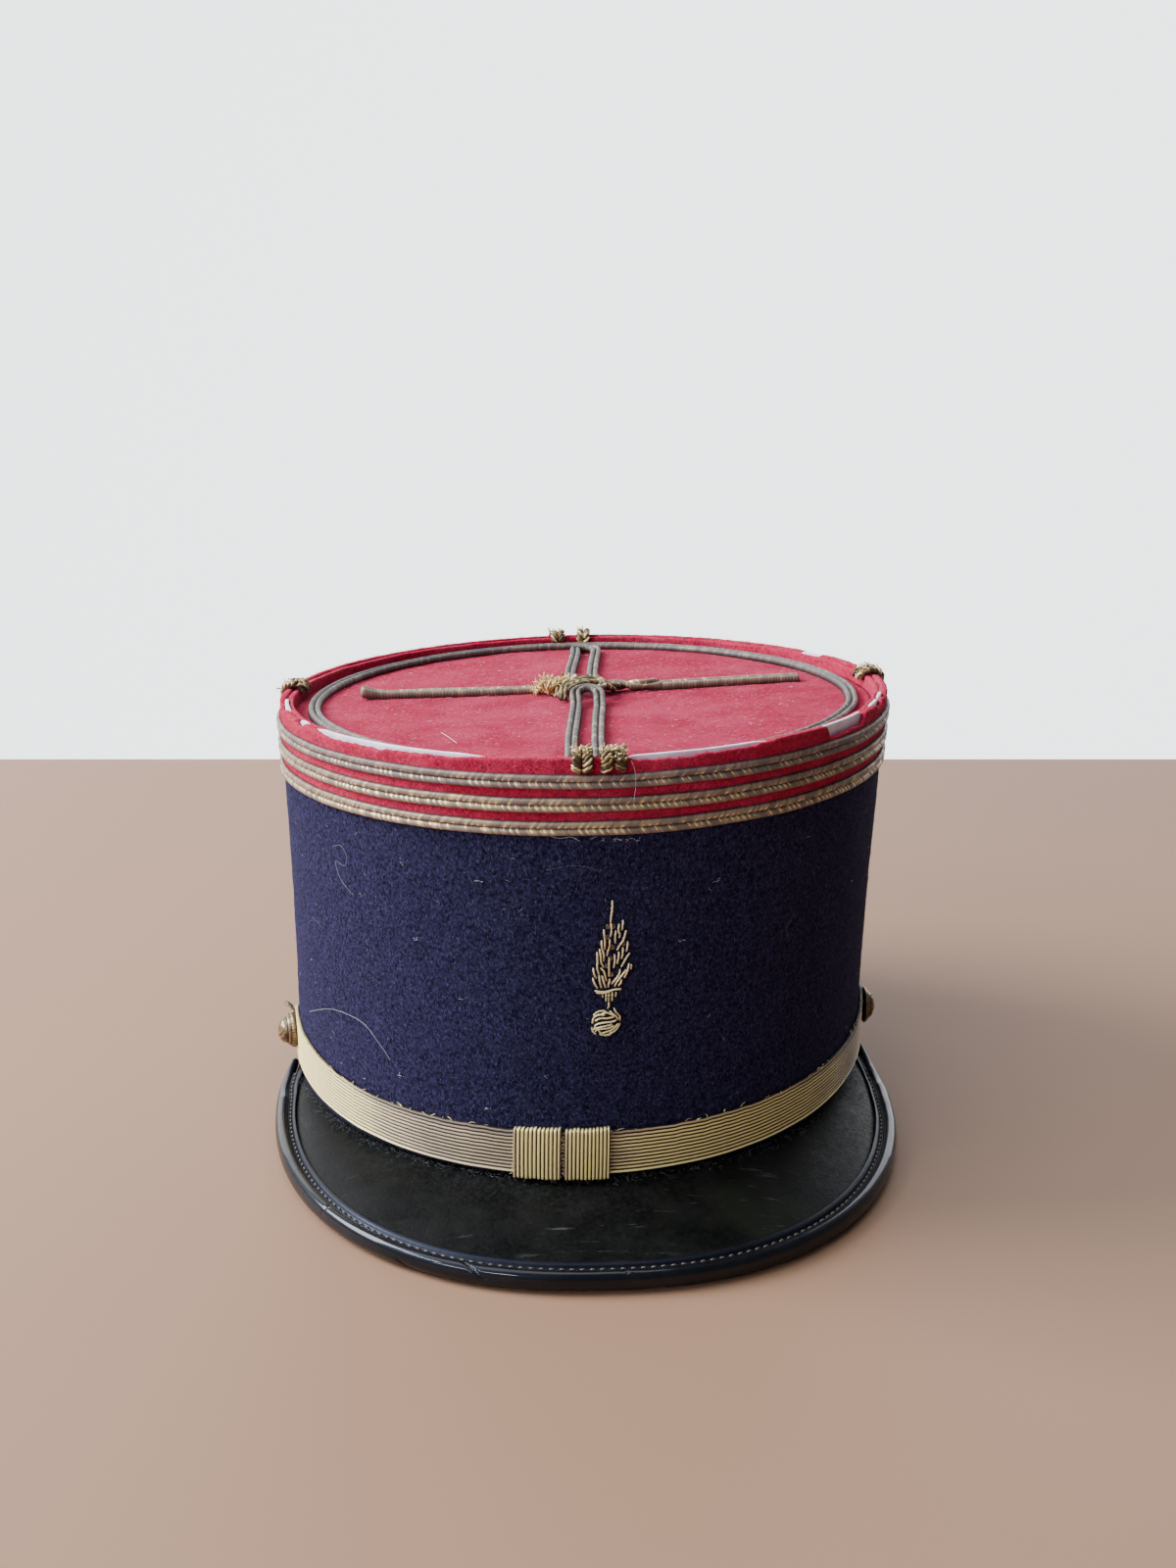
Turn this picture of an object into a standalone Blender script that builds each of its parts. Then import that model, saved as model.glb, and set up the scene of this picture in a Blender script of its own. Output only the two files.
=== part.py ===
"""Kepi cap: a navy felt band, a red felt crown, flat gold braid, a chin strap and a leather visor.

Modelled in millimetres and written to the mesh in metres.  The front of the cap faces -Y and +Z is up.
Angles around the cap run from the front, with +X at +90 degrees.  The cap stands as it does on a table:
the visor's rolled edge and the back of the band touch z = 0, so the band is tipped slightly backwards.
"""
import math

import bmesh
import bpy
from mathutils import Vector

MM = 0.001
CLEARANCE = 0.3
OVAL_STEPS = 72

# The felt shell
BASE_HALF_WIDTH = 79.7
BASE_HALF_LENGTH = 96.3
TOP_HALF_WIDTH = 82.0
TOP_HALF_LENGTH = 93.5
OVAL_POWER = 1.94
CAP_HEIGHT = 104.2
TOP_FORWARD = 6.8
TOP_ASIDE = 1.2
BASE_PITCH = 0.064
TOP_PITCH = 0.056
SIDE_SLANT = 0.020
WAIST = 0.6
BAND_FELT = 2.2

# The rim of the crown: outer felt, a plastic strip in a slot, and inner felt
RIM_HEIGHT = 3.75
RIM_OUTER_FELT = 1.2
RIM_INNER_FELT = 1.0
STIFFENER_THICKNESS = 1.0
STIFFENER_HEIGHT = 5.0
TOP_SINK = 3.6
TOP_FELT = 2.0

# Flat braid, sewn round the cap and laid on its top
STRIPE_WIDTH = 3.7
STRIPE_GAP = 2.0
STRIPE_THICKNESS = 0.9
BRAID_THICKNESS = 1.5
RING_INSET_SIDE = 9.2
RING_INSET_END = 6.6
RING_WIDTH = 3.5
LOOP_BRAID_WIDTH = 3.4
LOOP_SPREAD = 6.4
ARM_BRAID_WIDTH = 4.5
ARM_BRAID_THICKNESS = 2.2
KNOT_HALF_WIDTH = 5.5
KNOT_HALF_LENGTH = 7.5
KNOT_HEIGHT = 4.2
WRAP_WIDTH = 5.2
WRAP_THICKNESS = 1.4
WRAP_TAPER = 0.8

# The embroidered badge on the front of the band
BADGE_DROP = 30.9
BADGE_ASIDE = 1.8
FLAME_LENGTH = 26.2
FLAME_WIDTH = 10.4
FLAME_THICKNESS = 1.4
FLAME_RIDGE_SHARE = 0.4
FLAME_EDGE_SHARE = 0.5
FLAME_TIP_SHARE = 0.4
BALL_DIAMETER = 7.8
BALL_THICKNESS = 2.0

# Chin strap, slides and buttons
STRAP_WIDTH = 11.5
STRAP_THICKNESS = 1.0
STRAP_RISE = 5.6
STRAP_RISE_POWER = 3.0
STRAP_END_TRIM = 2.4
SLIDE_WIDTH = 12.2
SLIDE_THICKNESS = 0.8
SLIDE_JOINT_ASIDE = -8.5
BUTTON_DIAMETER = 10.0
BUTTON_DEPTH = 4.6
BUTTON_ANGLE = math.radians(81.5)
STRAP_END_ANGLE = math.radians(86.5)

# Visor, its rolled edge and the stitched welt beside it
VISOR_SIDE_MARGIN = 5.3
VISOR_DEPTH = 33.8
VISOR_BACK = 20.0
VISOR_POWER = 2.3
VISOR_THICKNESS = 2.0
VISOR_CROWN = 1.2
VISOR_CROWN_WIDTH = 30.0
VISOR_SEAM_ANGLE = math.radians(78)
VISOR_EDGE_ANGLE = math.radians(90)
BEAD_WIDTH = 3.8
BEAD_HEIGHT = 5.6
BEAD_TAPER = 0.42
BEAD_LIFT_ANGLE = math.radians(86)
BEAD_END_ANGLE = math.radians(94)
BEAD_END_RISE = 1.0
WELT_END_ANGLE = math.radians(82)
WELT_WIDTH = 3.0
WELT_THICKNESS = 0.8
WELT_INSET = 0.5

# Places on the sunken top, as shares of the top oval's half width and half length from its centre
ARMS = (
    # name, outer x, outer y, inner x, inner y
    ("left", -0.745, 0.100, -0.168, 0.128),
    ("right", 0.760, 0.183, 0.084, 0.112),
)
LOOPS = (
    # name, open end x, open end y, arch x, arch y
    ("front", -0.042, -0.880, 0.012, -0.050),
    ("back", 0.004, 0.195, 0.058, 0.868),
)
KNOT_CENTRE = (0.004, 0.075)

# Outline of the knot and its frayed tuft: direction from +X, with its reach across as a share of the
# half width and its reach along as a share of the half length
KNOT_OUTLINE = (
    # degrees, reach across, reach along
    (0, 0.85, 1.00), (30, 0.95, 1.05), (60, 1.20, 1.20), (90, 1.25, 1.25), (120, 1.15, 1.15),
    (150, 1.45, 1.30), (170, 1.90, 1.30), (185, 1.95, 1.30), (205, 1.50, 1.30), (235, 1.10, 1.10),
    (270, 1.20, 1.20), (300, 1.10, 1.10), (330, 0.90, 1.00),
)

# Wraps of braid over the rim: angle from the front, width as a share of the wrap's width
WRAPS = (
    # name, degrees, width
    ("front_left", -3.6, 0.95),
    ("front_right", 1.9, 1.15),
    ("back_left", 183.0, 0.90),
    ("back_right", 176.4, 0.80),
    ("left", -98.5, 1.50),
    ("right", 94.5, 1.35),
)

# Flame of the badge: drop as a share of its length, half width as a share of its width,
# and the drift of its middle to the right as a share of its width
FLAME_ROWS = (
    # drop, half width, drift
    (0.00, 0.035, -0.02), (0.13, 0.060, 0.00), (0.21, 0.110, 0.00), (0.30, 0.260, 0.02),
    (0.42, 0.400, 0.02), (0.55, 0.480, 0.00), (0.66, 0.490, 0.00), (0.75, 0.400, -0.01),
    (0.82, 0.240, -0.01), (0.85, 0.280, 0.00), (0.91, 0.200, 0.00), (0.94, 0.060, 0.00),
    (1.00, 0.050, 0.00),
)

# Turned profile of a button: radius as a share of the button's, height as a share of its depth
BUTTON_PROFILE = (
    # radius, height
    (0.00, 0.00), (0.94, 0.00), (1.00, 0.10), (0.96, 0.28), (0.84, 0.30), (0.82, 0.44),
    (0.74, 0.50), (0.72, 0.62), (0.56, 0.84), (0.30, 0.97), (0.00, 1.00),
)
BUTTON_SIDES = 20

# Section across two-ribbed braid: place across its width, height as a share of its thickness
RIBBED_SECTION = (
    # across, height
    (0.00, 0.00), (0.06, 0.72), (0.25, 1.00), (0.50, 0.58), (0.75, 1.00), (0.94, 0.72), (1.00, 0.00),
)

# Worked out from the sizes above
STRIPE_PITCH = STRIPE_WIDTH + STRIPE_GAP
FELT_JOINT = 2 * STRIPE_PITCH + 0.5 * STRIPE_WIDTH
RIM_THICKNESS = RIM_OUTER_FELT + RIM_INNER_FELT + STIFFENER_THICKNESS + 2 * CLEARANCE
VISOR_HALF_WIDTH = BASE_HALF_WIDTH + VISOR_SIDE_MARGIN
VISOR_REACH = BASE_HALF_LENGTH + VISOR_DEPTH
BASE_LEVEL = math.hypot(SIDE_SLANT * BASE_HALF_WIDTH, BASE_PITCH * BASE_HALF_LENGTH)
TOP_LEVEL = BASE_LEVEL + CAP_HEIGHT
STRAP_FRONT_RISE = SLIDE_THICKNESS + 2 * CLEARANCE


def clear_scene():
    for item in list(bpy.data.objects):
        bpy.data.objects.remove(item, do_unlink=True)


def make_material(name, colour, roughness, metallic=0.0):
    found = bpy.data.materials.get(name)
    if found:
        return found
    material = bpy.data.materials.new(name)
    material.use_nodes = True
    shader = material.node_tree.nodes["Principled BSDF"]
    shader.inputs["Base Color"].default_value = (*colour, 1.0)
    shader.inputs["Roughness"].default_value = roughness
    shader.inputs["Metallic"].default_value = metallic
    material.diffuse_color = (*colour, 1.0)
    return material


def navy_felt():
    return make_material("navy_felt", (0.022, 0.020, 0.055), 0.95)


def red_felt():
    return make_material("red_felt", (0.52, 0.045, 0.085), 0.95)


def white_plastic():
    return make_material("white_plastic", (0.78, 0.76, 0.82), 0.45)


def gold_braid():
    return make_material("gold_braid", (0.34, 0.27, 0.17), 0.5, 0.6)


def bullion():
    return make_material("bullion", (0.50, 0.36, 0.14), 0.4, 0.8)


def strap_braid():
    return make_material("strap_braid", (0.56, 0.43, 0.20), 0.45, 0.6)


def aged_brass():
    return make_material("aged_brass", (0.42, 0.25, 0.13), 0.35, 0.9)


def black_leather():
    return make_material("black_leather", (0.022, 0.024, 0.021), 0.45)


def black_patent():
    return make_material("black_patent", (0.012, 0.014, 0.017), 0.12)


def add_object(name, bm, material, smooth=True, sharp_degrees=50):
    bmesh.ops.recalc_face_normals(bm, faces=bm.faces)
    mesh = bpy.data.meshes.new(name)
    bm.to_mesh(mesh)
    bm.free()
    if smooth:
        mesh.shade_smooth()
        mesh.set_sharp_from_angle(angle=math.radians(sharp_degrees))
    mesh.materials.append(material)
    item = bpy.data.objects.new(name, mesh)
    bpy.context.scene.collection.objects.link(item)
    item.parent = bpy.data.objects["kepi"]
    return item


def sweep(name, stations, material, closed):
    """One closed body through equal sections; an open one gets a cap at each end."""
    bm = bmesh.new()
    rings = [[bm.verts.new(point * MM) for point in station] for station in stations]
    follow = rings[1:] + rings[:1] if closed else rings[1:]
    for ring, after in zip(rings, follow):
        for index in range(len(ring)):
            other = (index + 1) % len(ring)
            bm.faces.new((ring[index], ring[other], after[other], after[index]))
    if not closed:
        bm.faces.new(rings[0])
        bm.faces.new(rings[-1])
    return add_object(name, bm, material)


def oval(half_width, half_length, angle, power=OVAL_POWER):
    """Point of a superellipse and its outward normal, at an angle from the front."""
    side, ahead = math.sin(angle), math.cos(angle)
    x = half_width * math.copysign(abs(side) ** (2 / power), side)
    y = -half_length * math.copysign(abs(ahead) ** (2 / power), ahead)
    slope_x = math.copysign(abs(x / half_width) ** (power - 1), x) / half_width
    slope_y = math.copysign(abs(y / half_length) ** (power - 1), y) / half_length
    return Vector((x, y, 0)), Vector((slope_x, slope_y, 0)).normalized()


def turn(start=-math.pi, end=math.pi, steps=OVAL_STEPS, closed=True):
    count = steps if closed else steps + 1
    return [start + (end - start) * index / steps for index in range(count)]


def base_level(point):
    return BASE_LEVEL + SIDE_SLANT * point.x - BASE_PITCH * point.y


def top_level(point):
    return TOP_LEVEL + SIDE_SLANT * point.x - TOP_PITCH * point.y


def base_point(angle):
    point, normal = oval(BASE_HALF_WIDTH, BASE_HALF_LENGTH, angle)
    point.x -= TOP_ASIDE / 2
    point.z = base_level(point)
    return point, normal


def top_point(angle):
    point, normal = oval(TOP_HALF_WIDTH, TOP_HALF_LENGTH, angle)
    point.x += TOP_ASIDE / 2
    point.y -= TOP_FORWARD
    point.z = top_level(point)
    return point, normal


def wall(angle, out=0.0, above_base=None, below_top=0.0):
    """Point beside the felt's outer face, by its height above the base or below the top stripe."""
    base, base_normal = base_point(angle)
    top, top_normal = top_point(angle)
    run = top - base
    up = run.normalized()
    height = run.length - below_top if above_base is None else above_base
    share = height / run.length
    bounded = min(max(share, 0.0), 1.0)
    normal = base_normal.lerp(top_normal, bounded)
    across = (normal - up * normal.dot(up)).normalized()
    point = base + up * height + across * (out - WAIST * math.sin(math.pi * bounded))
    point.z = base_level(point) * (1 - share) + top_level(point) * share
    return point


def make_navy_band():
    heights = (0.0, 0.25, 0.5, 0.75, 1.0)
    stations = []
    for angle in turn():
        full = (wall(angle, below_top=FELT_JOINT) - wall(angle, above_base=0)).length
        rises = [full * share for share in heights]
        outer = [wall(angle, 0, rise) for rise in rises]
        inner = [wall(angle, -BAND_FELT, rise) for rise in reversed(rises)]
        stations.append(outer + inner)
    sweep("navy_band", stations, navy_felt(), closed=True)


def make_red_crown():
    slot_outer = -RIM_OUTER_FELT
    slot_inner = slot_outer - STIFFENER_THICKNESS - 2 * CLEARANCE
    slot_floor = STIFFENER_HEIGHT + CLEARANCE - RIM_HEIGHT
    ledge = TOP_FELT + TOP_SINK - RIM_HEIGHT + CLEARANCE
    section = (
        (0, FELT_JOINT - CLEARANCE), (-BAND_FELT, FELT_JOINT - CLEARANCE),
        (-BAND_FELT, ledge + RIM_THICKNESS), (-RIM_THICKNESS, ledge + BAND_FELT / 2),
        (-RIM_THICKNESS, -RIM_HEIGHT), (slot_inner, -RIM_HEIGHT), (slot_inner, slot_floor),
        (slot_outer, slot_floor), (slot_outer, -RIM_HEIGHT), (0, -RIM_HEIGHT),
    )
    stations = [[wall(angle, out, below_top=drop) for out, drop in section] for angle in turn()]
    sweep("red_crown", stations, red_felt(), closed=True)


def make_rim_stiffener():
    outer = -RIM_OUTER_FELT - CLEARANCE
    inner = outer - STIFFENER_THICKNESS
    foot = STIFFENER_HEIGHT - RIM_HEIGHT
    section = ((outer, foot), (inner, foot), (inner, -RIM_HEIGHT), (outer, -RIM_HEIGHT))
    stations = [[wall(angle, out, below_top=drop) for out, drop in section] for angle in turn()]
    sweep("rim_stiffener", stations, white_plastic(), closed=True)


def on_top(x, y, lift=0.0):
    """Point over the sunken top at a place in the cap's plan."""
    point = Vector((x, y, 0))
    point.z = top_level(point) + RIM_HEIGHT - TOP_SINK + lift
    return point


def top_place(share_x, share_y):
    return Vector((TOP_ASIDE / 2 + share_x * TOP_HALF_WIDTH, share_y * TOP_HALF_LENGTH - TOP_FORWARD))


def make_crown_top():
    bm = bmesh.new()
    outline = [wall(angle, -RIM_THICKNESS - CLEARANCE, below_top=0) for angle in turn()]
    upper = bm.faces.new([bm.verts.new(on_top(p.x, p.y) * MM) for p in outline])
    lower = bmesh.ops.extrude_face_region(bm, geom=[upper])
    moved = [item for item in lower["geom"] if isinstance(item, bmesh.types.BMVert)]
    bmesh.ops.translate(bm, verts=moved, vec=Vector((0, 0, -TOP_FELT * MM)))
    add_object("crown_top", bm, red_felt())


def make_braid_stripes():
    for index, place in enumerate(("upper", "middle", "lower")):
        drop = index * STRIPE_PITCH
        stations = []
        for angle in turn():
            station = []
            for across, height in RIBBED_SECTION:
                out = CLEARANCE + height * STRIPE_THICKNESS
                station.append(wall(angle, out, below_top=drop + across * STRIPE_WIDTH))
            stations.append(station)
        sweep("braid_stripe_" + place, stations, gold_braid(), closed=True)


def make_top_braid_ring():
    stations = []
    for angle in turn():
        place, normal = oval(TOP_HALF_WIDTH - RING_INSET_SIDE, TOP_HALF_LENGTH - RING_INSET_END, angle)
        centre = top_place(0, 0)
        station = []
        for across, height in RIBBED_SECTION:
            point = place + normal * (across - 0.5) * RING_WIDTH
            lift = CLEARANCE + height * BRAID_THICKNESS
            station.append(on_top(point.x + centre.x, point.y + centre.y, lift))
        stations.append(station)
    sweep("top_braid_ring", stations, gold_braid(), closed=True)


def laid_braid(name, path, width, thickness):
    """Two-ribbed braid lying on the sunken top along a path of plan points."""
    stations = []
    for index, place in enumerate(path):
        before, after = path[max(index - 1, 0)], path[min(index + 1, len(path) - 1)]
        along = (after - before).normalized()
        side = Vector((along.y, -along.x))
        station = []
        for across, height in RIBBED_SECTION:
            point = place + side * (across - 0.5) * width
            station.append(on_top(point.x, point.y, CLEARANCE + height * thickness))
        stations.append(station)
    sweep(name, stations, gold_braid(), closed=False)


def make_braid_arms():
    steps = 8
    for name, outer_x, outer_y, inner_x, inner_y in ARMS:
        outer, inner = top_place(outer_x, outer_y), top_place(inner_x, inner_y)
        path = [outer.lerp(inner, index / steps) for index in range(steps + 1)]
        laid_braid("braid_arm_" + name, path, ARM_BRAID_WIDTH, ARM_BRAID_THICKNESS)


def make_braid_loops():
    """Each loop runs out along one strand, round an arch and back along the other."""
    bend_steps = 8
    radius = LOOP_SPREAD / 2
    for name, open_x, open_y, arch_x, arch_y in LOOPS:
        foot, crest = top_place(open_x, open_y), top_place(arch_x, arch_y)
        along = (crest - foot).normalized()
        side = Vector((along.y, -along.x))
        hub = crest - along * (radius + LOOP_BRAID_WIDTH / 2)
        path = [foot - side * radius, foot.lerp(hub, 0.5) - side * radius]
        for index in range(bend_steps + 1):
            swing = math.pi * index / bend_steps
            path.append(hub - side * radius * math.cos(swing) + along * radius * math.sin(swing))
        path += [foot.lerp(hub, 0.5) + side * radius, foot + side * radius]
        laid_braid("braid_loop_" + name, path, LOOP_BRAID_WIDTH, BRAID_THICKNESS)


def make_centre_knot():
    """Low mound over the crossing, with a frayed tuft reaching to the left."""
    dome = ((1.0, 0.0), (0.97, 0.45), (0.72, 0.85), (0.35, 1.0))
    centre = top_place(*KNOT_CENTRE)
    bm = bmesh.new()
    rings = []
    for spread, height in dome:
        ring = []
        for degrees, reach_across, reach_along in KNOT_OUTLINE:
            direction = math.radians(degrees)
            x = centre.x + KNOT_HALF_WIDTH * reach_across * spread * math.cos(direction)
            y = centre.y + KNOT_HALF_LENGTH * reach_along * spread * math.sin(direction)
            ring.append(bm.verts.new(on_top(x, y, CLEARANCE + height * KNOT_HEIGHT) * MM))
        rings.append(ring)
    for ring, after in zip(rings, rings[1:]):
        for index in range(len(ring)):
            other = (index + 1) % len(ring)
            bm.faces.new((ring[index], ring[other], after[other], after[index]))
    bm.faces.new(rings[0])
    bm.faces.new(rings[-1])
    add_object("centre_knot", bm, gold_braid())


def make_rim_wraps():
    """Short lengths of braid that saddle the rim, from the upper stripe to the sunken top."""
    seat = CLEARANCE
    inner_end = TOP_SINK - RIM_HEIGHT - BRAID_THICKNESS - 2 * CLEARANCE
    near_path = (
        (seat, -CLEARANCE), (seat, -RIM_HEIGHT), (-RIM_OUTER_FELT / 2, -RIM_HEIGHT - seat),
        (-RIM_THICKNESS + RIM_INNER_FELT / 2, -RIM_HEIGHT - seat),
        (-RIM_THICKNESS - seat, -RIM_HEIGHT), (-RIM_THICKNESS - seat, inner_end),
    )
    ways = ((1, 0), (0.8, -0.6), (0.3, -1), (-0.3, -1), (-0.8, -0.6), (-1, 0))
    for name, degrees, width in WRAPS:
        middle = math.radians(degrees)
        pitch = (wall(middle + 0.01) - wall(middle - 0.01)).length / 0.02
        half = width * WRAP_WIDTH / 2 / pitch
        stations = []
        for (out, drop), (push_out, push_drop) in zip(near_path, ways):
            far_out = out + push_out * WRAP_THICKNESS
            far_drop = drop + push_drop * WRAP_THICKNESS
            stations.append([
                wall(middle - half, out, below_top=drop), wall(middle + half, out, below_top=drop),
                wall(middle + half * WRAP_TAPER, far_out, below_top=far_drop),
                wall(middle - half * WRAP_TAPER, far_out, below_top=far_drop),
            ])
        sweep("rim_wrap_" + name, stations, gold_braid(), closed=False)


def wall_frame(angle, height):
    """Point on the felt, with the directions to its right, up and straight out of it."""
    here = wall(angle, above_base=height)
    nearby = 0.01
    right = wall(angle + nearby, above_base=height) - wall(angle - nearby, above_base=height)
    right.normalize()
    up = (wall(angle, above_base=height + 1) - here).normalized()
    return here, right, up, right.cross(up).normalized()


def front_frame(drop, aside):
    """The felt's frame on the front of the band, a drop below the top stripe's upper edge."""
    angle = math.asin(aside / BASE_HALF_WIDTH)
    full = (wall(angle, below_top=0) - wall(angle, above_base=0)).length
    return wall_frame(angle, full - drop)


def make_badge_flame():
    stations = []
    for drop, half_width, drift in FLAME_ROWS:
        here, right, _, out = front_frame(BADGE_DROP + drop * FLAME_LENGTH, BADGE_ASIDE)
        half = half_width * FLAME_WIDTH
        middle = here + right * drift * FLAME_WIDTH
        thickness = FLAME_THICKNESS * min(1.0, FLAME_TIP_SHARE + 2 * half_width)
        back, front = out * CLEARANCE, out * (CLEARANCE + thickness)
        edge = out * (CLEARANCE + FLAME_EDGE_SHARE * thickness)
        ridge = half * FLAME_RIDGE_SHARE
        stations.append([
            middle + back - right * half, middle + back + right * half, middle + edge + right * half,
            middle + front + right * ridge, middle + front - right * ridge,
            middle + edge - right * half,
        ])
    sweep("badge_flame", stations, bullion(), closed=False)


def make_badge_ball():
    drop = BADGE_DROP + FLAME_LENGTH + CLEARANCE + BALL_DIAMETER / 2
    here, right, up, out = front_frame(drop, BADGE_ASIDE)
    sides = 16
    dome = ((1.0, 0.0), (1.0, 0.30), (0.82, 0.75), (0.45, 1.0))
    stations = []
    for spread, height in dome:
        middle = here + out * (CLEARANCE + height * BALL_THICKNESS)
        ring = []
        for index in range(sides):
            turned = math.tau * index / sides
            reach = spread * BALL_DIAMETER / 2
            ring.append(middle + (right * math.cos(turned) + up * math.sin(turned)) * reach)
        stations.append(ring)
    sweep("badge_ball", stations, bullion(), closed=False)


def strap_low(angle):
    """Height of the strap's lower edge: down on the visor in front, higher at the buttons."""
    return STRAP_FRONT_RISE + STRAP_RISE * (abs(angle) / BUTTON_ANGLE) ** STRAP_RISE_POWER


def make_chin_strap():
    stations = []
    inner, outer = CLEARANCE, CLEARANCE + STRAP_THICKNESS
    for angle in turn(-STRAP_END_ANGLE, STRAP_END_ANGLE, 40, closed=False):
        beyond = max(abs(angle) - BUTTON_ANGLE, 0) / (STRAP_END_ANGLE - BUTTON_ANGLE)
        trim = STRAP_END_TRIM * beyond ** 2
        low = strap_low(angle) + trim
        high = strap_low(angle) + STRAP_WIDTH - trim
        stations.append([
            wall(angle, inner, low), wall(angle, outer, low),
            wall(angle, outer, high), wall(angle, inner, high),
        ])
    sweep("chin_strap", stations, strap_braid(), closed=False)


def make_strap_slides():
    """Folded plates that clasp the strap, one each side of their joint."""
    reach = SLIDE_WIDTH - CLEARANCE / 2
    steps = 4
    strap_face = CLEARANCE + STRAP_THICKNESS
    inner, outer = strap_face + CLEARANCE, strap_face + CLEARANCE + SLIDE_THICKNESS
    for name, side in (("left", -1), ("right", 1)):
        stations = []
        for index in range(steps + 1):
            aside = SLIDE_JOINT_ASIDE + side * (CLEARANCE / 2 + reach * index / steps)
            angle = math.asin(aside / BASE_HALF_WIDTH)
            low = strap_low(angle) - CLEARANCE
            high = strap_low(angle) + STRAP_WIDTH + CLEARANCE
            stations.append([
                wall(angle, CLEARANCE, low), wall(angle, CLEARANCE, low - SLIDE_THICKNESS),
                wall(angle, outer, low - SLIDE_THICKNESS), wall(angle, outer, high + SLIDE_THICKNESS),
                wall(angle, CLEARANCE, high + SLIDE_THICKNESS), wall(angle, CLEARANCE, high),
                wall(angle, inner, high), wall(angle, inner, low),
            ])
        sweep("strap_slide_" + name, stations, strap_braid(), closed=False)


def make_buttons():
    """Domed buttons, each turned about its own axis, over the ends of the strap."""
    seat = CLEARANCE + STRAP_THICKNESS + CLEARANCE
    for name, side in (("left", -1), ("right", 1)):
        angle = side * BUTTON_ANGLE
        here, right, _, axis = wall_frame(angle, strap_low(angle) + STRAP_WIDTH / 2)
        foot = here + axis * seat
        bm = bmesh.new()
        profile = []
        for radius, rise in BUTTON_PROFILE:
            point = foot + right * radius * BUTTON_DIAMETER / 2 + axis * rise * BUTTON_DEPTH
            profile.append(bm.verts.new(point * MM))
        edges = [bm.edges.new(pair) for pair in zip(profile, profile[1:])]
        bmesh.ops.spin(bm, geom=profile + edges, cent=foot * MM, axis=axis, angle=math.tau,
                       steps=BUTTON_SIDES, use_merge=True)
        bmesh.ops.remove_doubles(bm, verts=bm.verts, dist=1e-6)
        add_object("button_" + name, bm, aged_brass())


def bead_centre(angle):
    """Middle of the rolled edge with its outward normal and its half sizes, which shrink near the ends.

    The edge lies on the table as far as its lift angle and then climbs to the band's lower edge.
    """
    late = max(abs(angle) - BEAD_LIFT_ANGLE, 0) / (BEAD_END_ANGLE - BEAD_LIFT_ANGLE)
    half_width = BEAD_WIDTH / 2 * (1 - BEAD_TAPER * late)
    half_height = BEAD_HEIGHT / 2 * (1 - BEAD_TAPER * late)
    point, normal = oval(VISOR_HALF_WIDTH, VISOR_REACH - VISOR_BACK, angle, VISOR_POWER)
    point.y -= VISOR_BACK
    point -= normal * half_width
    point.z = half_height + (base_level(point) + BEAD_END_RISE - half_height) * late ** 2
    return point, normal, half_width, half_height


def even_bead_angles(end, steps):
    """Angles from -end to end whose places are evenly spaced along the rolled edge."""
    fine = turn(-end, end, 720, closed=False)
    places = [bead_centre(angle)[0] for angle in fine]
    lengths = [0.0]
    for before, after in zip(places, places[1:]):
        lengths.append(lengths[-1] + (after - before).length)
    chosen = []
    for index in range(steps + 1):
        goal = lengths[-1] * index / steps
        later = next(place for place, length in enumerate(lengths) if length >= goal - 1e-9)
        chosen.append(fine[later])
    return chosen


def visor_point(angle, across, lift=0.0):
    """Point of the visor's upper face: across runs from the seam under the band to the rolled edge."""
    seam = wall(angle * VISOR_SEAM_ANGLE / VISOR_EDGE_ANGLE, -BAND_FELT, above_base=0)
    seam.z = base_level(seam) - CLEARANCE
    centre, normal, half_width, _ = bead_centre(angle)
    edge = centre - normal * (half_width + CLEARANCE)
    edge.z = centre.z + VISOR_THICKNESS / 2
    point = seam.lerp(edge, across)
    share_of_front = min((edge - seam).length / VISOR_CROWN_WIDTH, 1.0)
    point.z += VISOR_CROWN * math.sin(math.pi * across) * share_of_front + lift
    return point


def make_visor():
    shares = (0.0, 0.10, 0.30, 0.55, 0.80, 1.0)
    stations = []
    for angle in even_bead_angles(VISOR_EDGE_ANGLE, 40):
        upper = [visor_point(angle, across) for across in shares]
        lower = [visor_point(angle, across, -VISOR_THICKNESS) for across in reversed(shares)]
        stations.append(upper + lower)
    sweep("visor", stations, black_leather(), closed=False)


def make_visor_bead():
    """Rolled edge with eight sides, one of them flat on the table."""
    sides = 8
    stations = []
    for angle in even_bead_angles(BEAD_END_ANGLE, 60):
        centre, normal, half_width, half_height = bead_centre(angle)
        corner = 1 / math.cos(math.pi / sides)
        station = []
        for index in range(sides):
            turned = math.tau * (index + 0.5) / sides
            point = centre + normal * corner * half_width * math.cos(turned)
            point.z += corner * half_height * math.sin(turned)
            station.append(point)
        stations.append(station)
    sweep("visor_bead", stations, black_patent(), closed=False)


def make_visor_welt():
    """Flat stitched strip on the visor beside its rolled edge."""
    stations = []
    low, high = CLEARANCE, CLEARANCE + WELT_THICKNESS
    for angle in even_bead_angles(WELT_END_ANGLE, 40):
        width = (visor_point(angle, 1) - visor_point(angle, 0)).length
        near = 1 - (WELT_INSET + WELT_WIDTH) / width
        far = 1 - WELT_INSET / width
        stations.append([
            visor_point(angle, near, low), visor_point(angle, far, low),
            visor_point(angle, far, high), visor_point(angle, near, high),
        ])
    sweep("visor_welt", stations, black_leather(), closed=False)


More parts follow.
